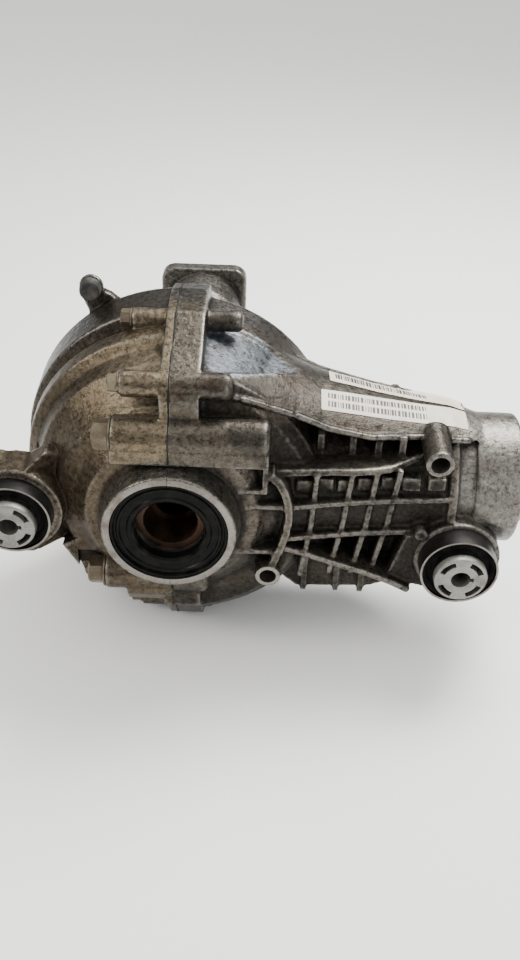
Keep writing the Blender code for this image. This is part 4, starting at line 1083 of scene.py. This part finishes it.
# ---------------- carried-over CAD pieces

def dress_cad():
    """Gives every CAD piece that stays a finish of its own."""
    paints = {"steel": TURNED_STEEL, "gear_steel": GEAR_METAL, "bronze": BRONZE, "rubber": WET_RUBBER}
    slots = {entry["node"]: entry["material_slot"] for entry in frame["record"]["subparts"]}
    for name, item in frame["nodes"].items():
        if item.hide_render:
            continue
        clad(item, paints.get(slots[name], TURNED_STEEL))
        smooth(item, 30)
    for name in ("near_side_gear", "differential_case", "cross_pin"):
        clad(frame["nodes"][name], RUSTY_STEEL)


# ---------------- floor, light and camera

def studio():
    bm = bmesh.new()
    size = 6.0
    corners = [bm.verts.new((x * size, y * size, 0.0)) for x, y in ((-1, -1), (1, -1), (1, 1), (-1, 1))]
    bm.faces.new(corners)
    f = Finish("pale_floor")
    f.surface((0.93, 0.93, 0.92, 1.0), 0.7, 0.0)
    floor = mesh_object("floor", bm, [f.material])
    world = bpy.data.worlds.new("studio")
    world.use_nodes = True
    sky = world.node_tree.nodes
    background = sky["Background"]
    where, height, colours = (sky.new("ShaderNodeTexCoord"), sky.new("ShaderNodeSeparateXYZ"),
                              sky.new("ShaderNodeValToRGB"))
    link = world.node_tree.links.new
    link(where.outputs["Generated"], height.inputs[0])
    link(height.outputs["Z"], colours.inputs["Fac"])
    link(colours.outputs["Color"], background.inputs["Color"])
    bands = colours.color_ramp
    bands.elements[0].position, bands.elements[0].color = 0.0, (0.10, 0.10, 0.10, 1.0)
    bands.elements[1].position, bands.elements[1].color = 0.92, (1.0, 1.0, 1.0, 1.0)
    for at, level in ((0.30, 0.14), (0.52, 0.55), (0.70, 0.95)):
        bands.elements.new(at).color = (level, level, level * 0.98, 1.0)
    background.inputs["Strength"].default_value = 1.5
    bpy.context.scene.world = world
    lights = (
        ("key", (0.35, 0.35, 0.95), 0.5, 22.0, (1.0, 0.99, 0.97)),
        ("fill", (-0.9, -0.5, 0.8), 0.4, 7.0, (1.0, 0.96, 0.90)),
        ("front", (0.7, -1.1, 0.45), 0.25, 4.5, (0.95, 0.97, 1.0)),
    )
    target = Vector((0.0, -0.05, 0.1))
    for name, at, size, power, colour in lights:
        lamp = bpy.data.lights.new(name, "AREA")
        lamp.size = size
        lamp.energy = power
        lamp.color = colour
        holder = bpy.data.objects.new(name, lamp)
        holder.location = at
        holder.rotation_euler = (target - Vector(at)).to_track_quat("-Z", "Y").to_euler()
        bpy.context.scene.collection.objects.link(holder)


def camera():
    """Looks at the bore side from 36 degrees above, rolled by 2 degrees as the photographer held it."""
    elevation, azimuth, roll = math.radians(36.0), math.radians(0.3), math.radians(2.0)
    forward = Vector((-math.sin(azimuth) * math.cos(elevation), math.cos(azimuth) * math.cos(elevation),
                      -math.sin(elevation)))
    level = Vector((math.cos(azimuth), math.sin(azimuth), 0.0))
    down = forward.cross(level)
    right = level * math.cos(roll) - down * math.sin(roll)
    up = -(level * math.sin(roll) + down * math.cos(roll))
    lens = bpy.data.cameras.new("camera")
    lens.lens = 37.5
    lens.sensor_width = 36.0
    lens.clip_end = 50.0
    view = bpy.data.objects.new("camera", lens)
    rotation = Matrix((right, up, -forward)).transposed().to_4x4()
    view.matrix_world = Matrix.Translation(place("X", 57.44, -549.82, 388.96)) @ rotation
    bpy.context.scene.collection.objects.link(view)
    bpy.context.scene.camera = view


# ---------------- making

carrier = carrier_casting()
cover_casting()
axle_tube()
screws()
plug("fill_plug", FILL_PLUG)
plug("drain_plug", DRAIN_PLUG)
bush("front_bush", FRONT_BUSH, FRONT_BUSH_END, 0)
bush("rear_bush", REAR_BUSH, REAR_BUSH_END, 0)
seal("near_output_seal", "Y", BORE_FACE_Y + 1.2, -65.0, 36.5, 21.5, WET_RUBBER)
seal("far_output_seal", "Y", TUBE_END_Y - 1.5, TUBE_END_Y - 11.5, 25.7, 17.1, MATT_RUBBER)
seal("pinion_seal", "X", 208.0, 197.0, 34.0, 20.4, MATT_RUBBER)
breather()
nose_parts()
output_shaft()
label("lower_label", carrier, (91, 186), (22, 7), (17, -6), ((17, 25), (5, 13)), 3)
label("upper_label", carrier, (97, 186), (-4, -22), (-9, -32), ((7, 23),), 8)
dress_cad()
studio()
camera()
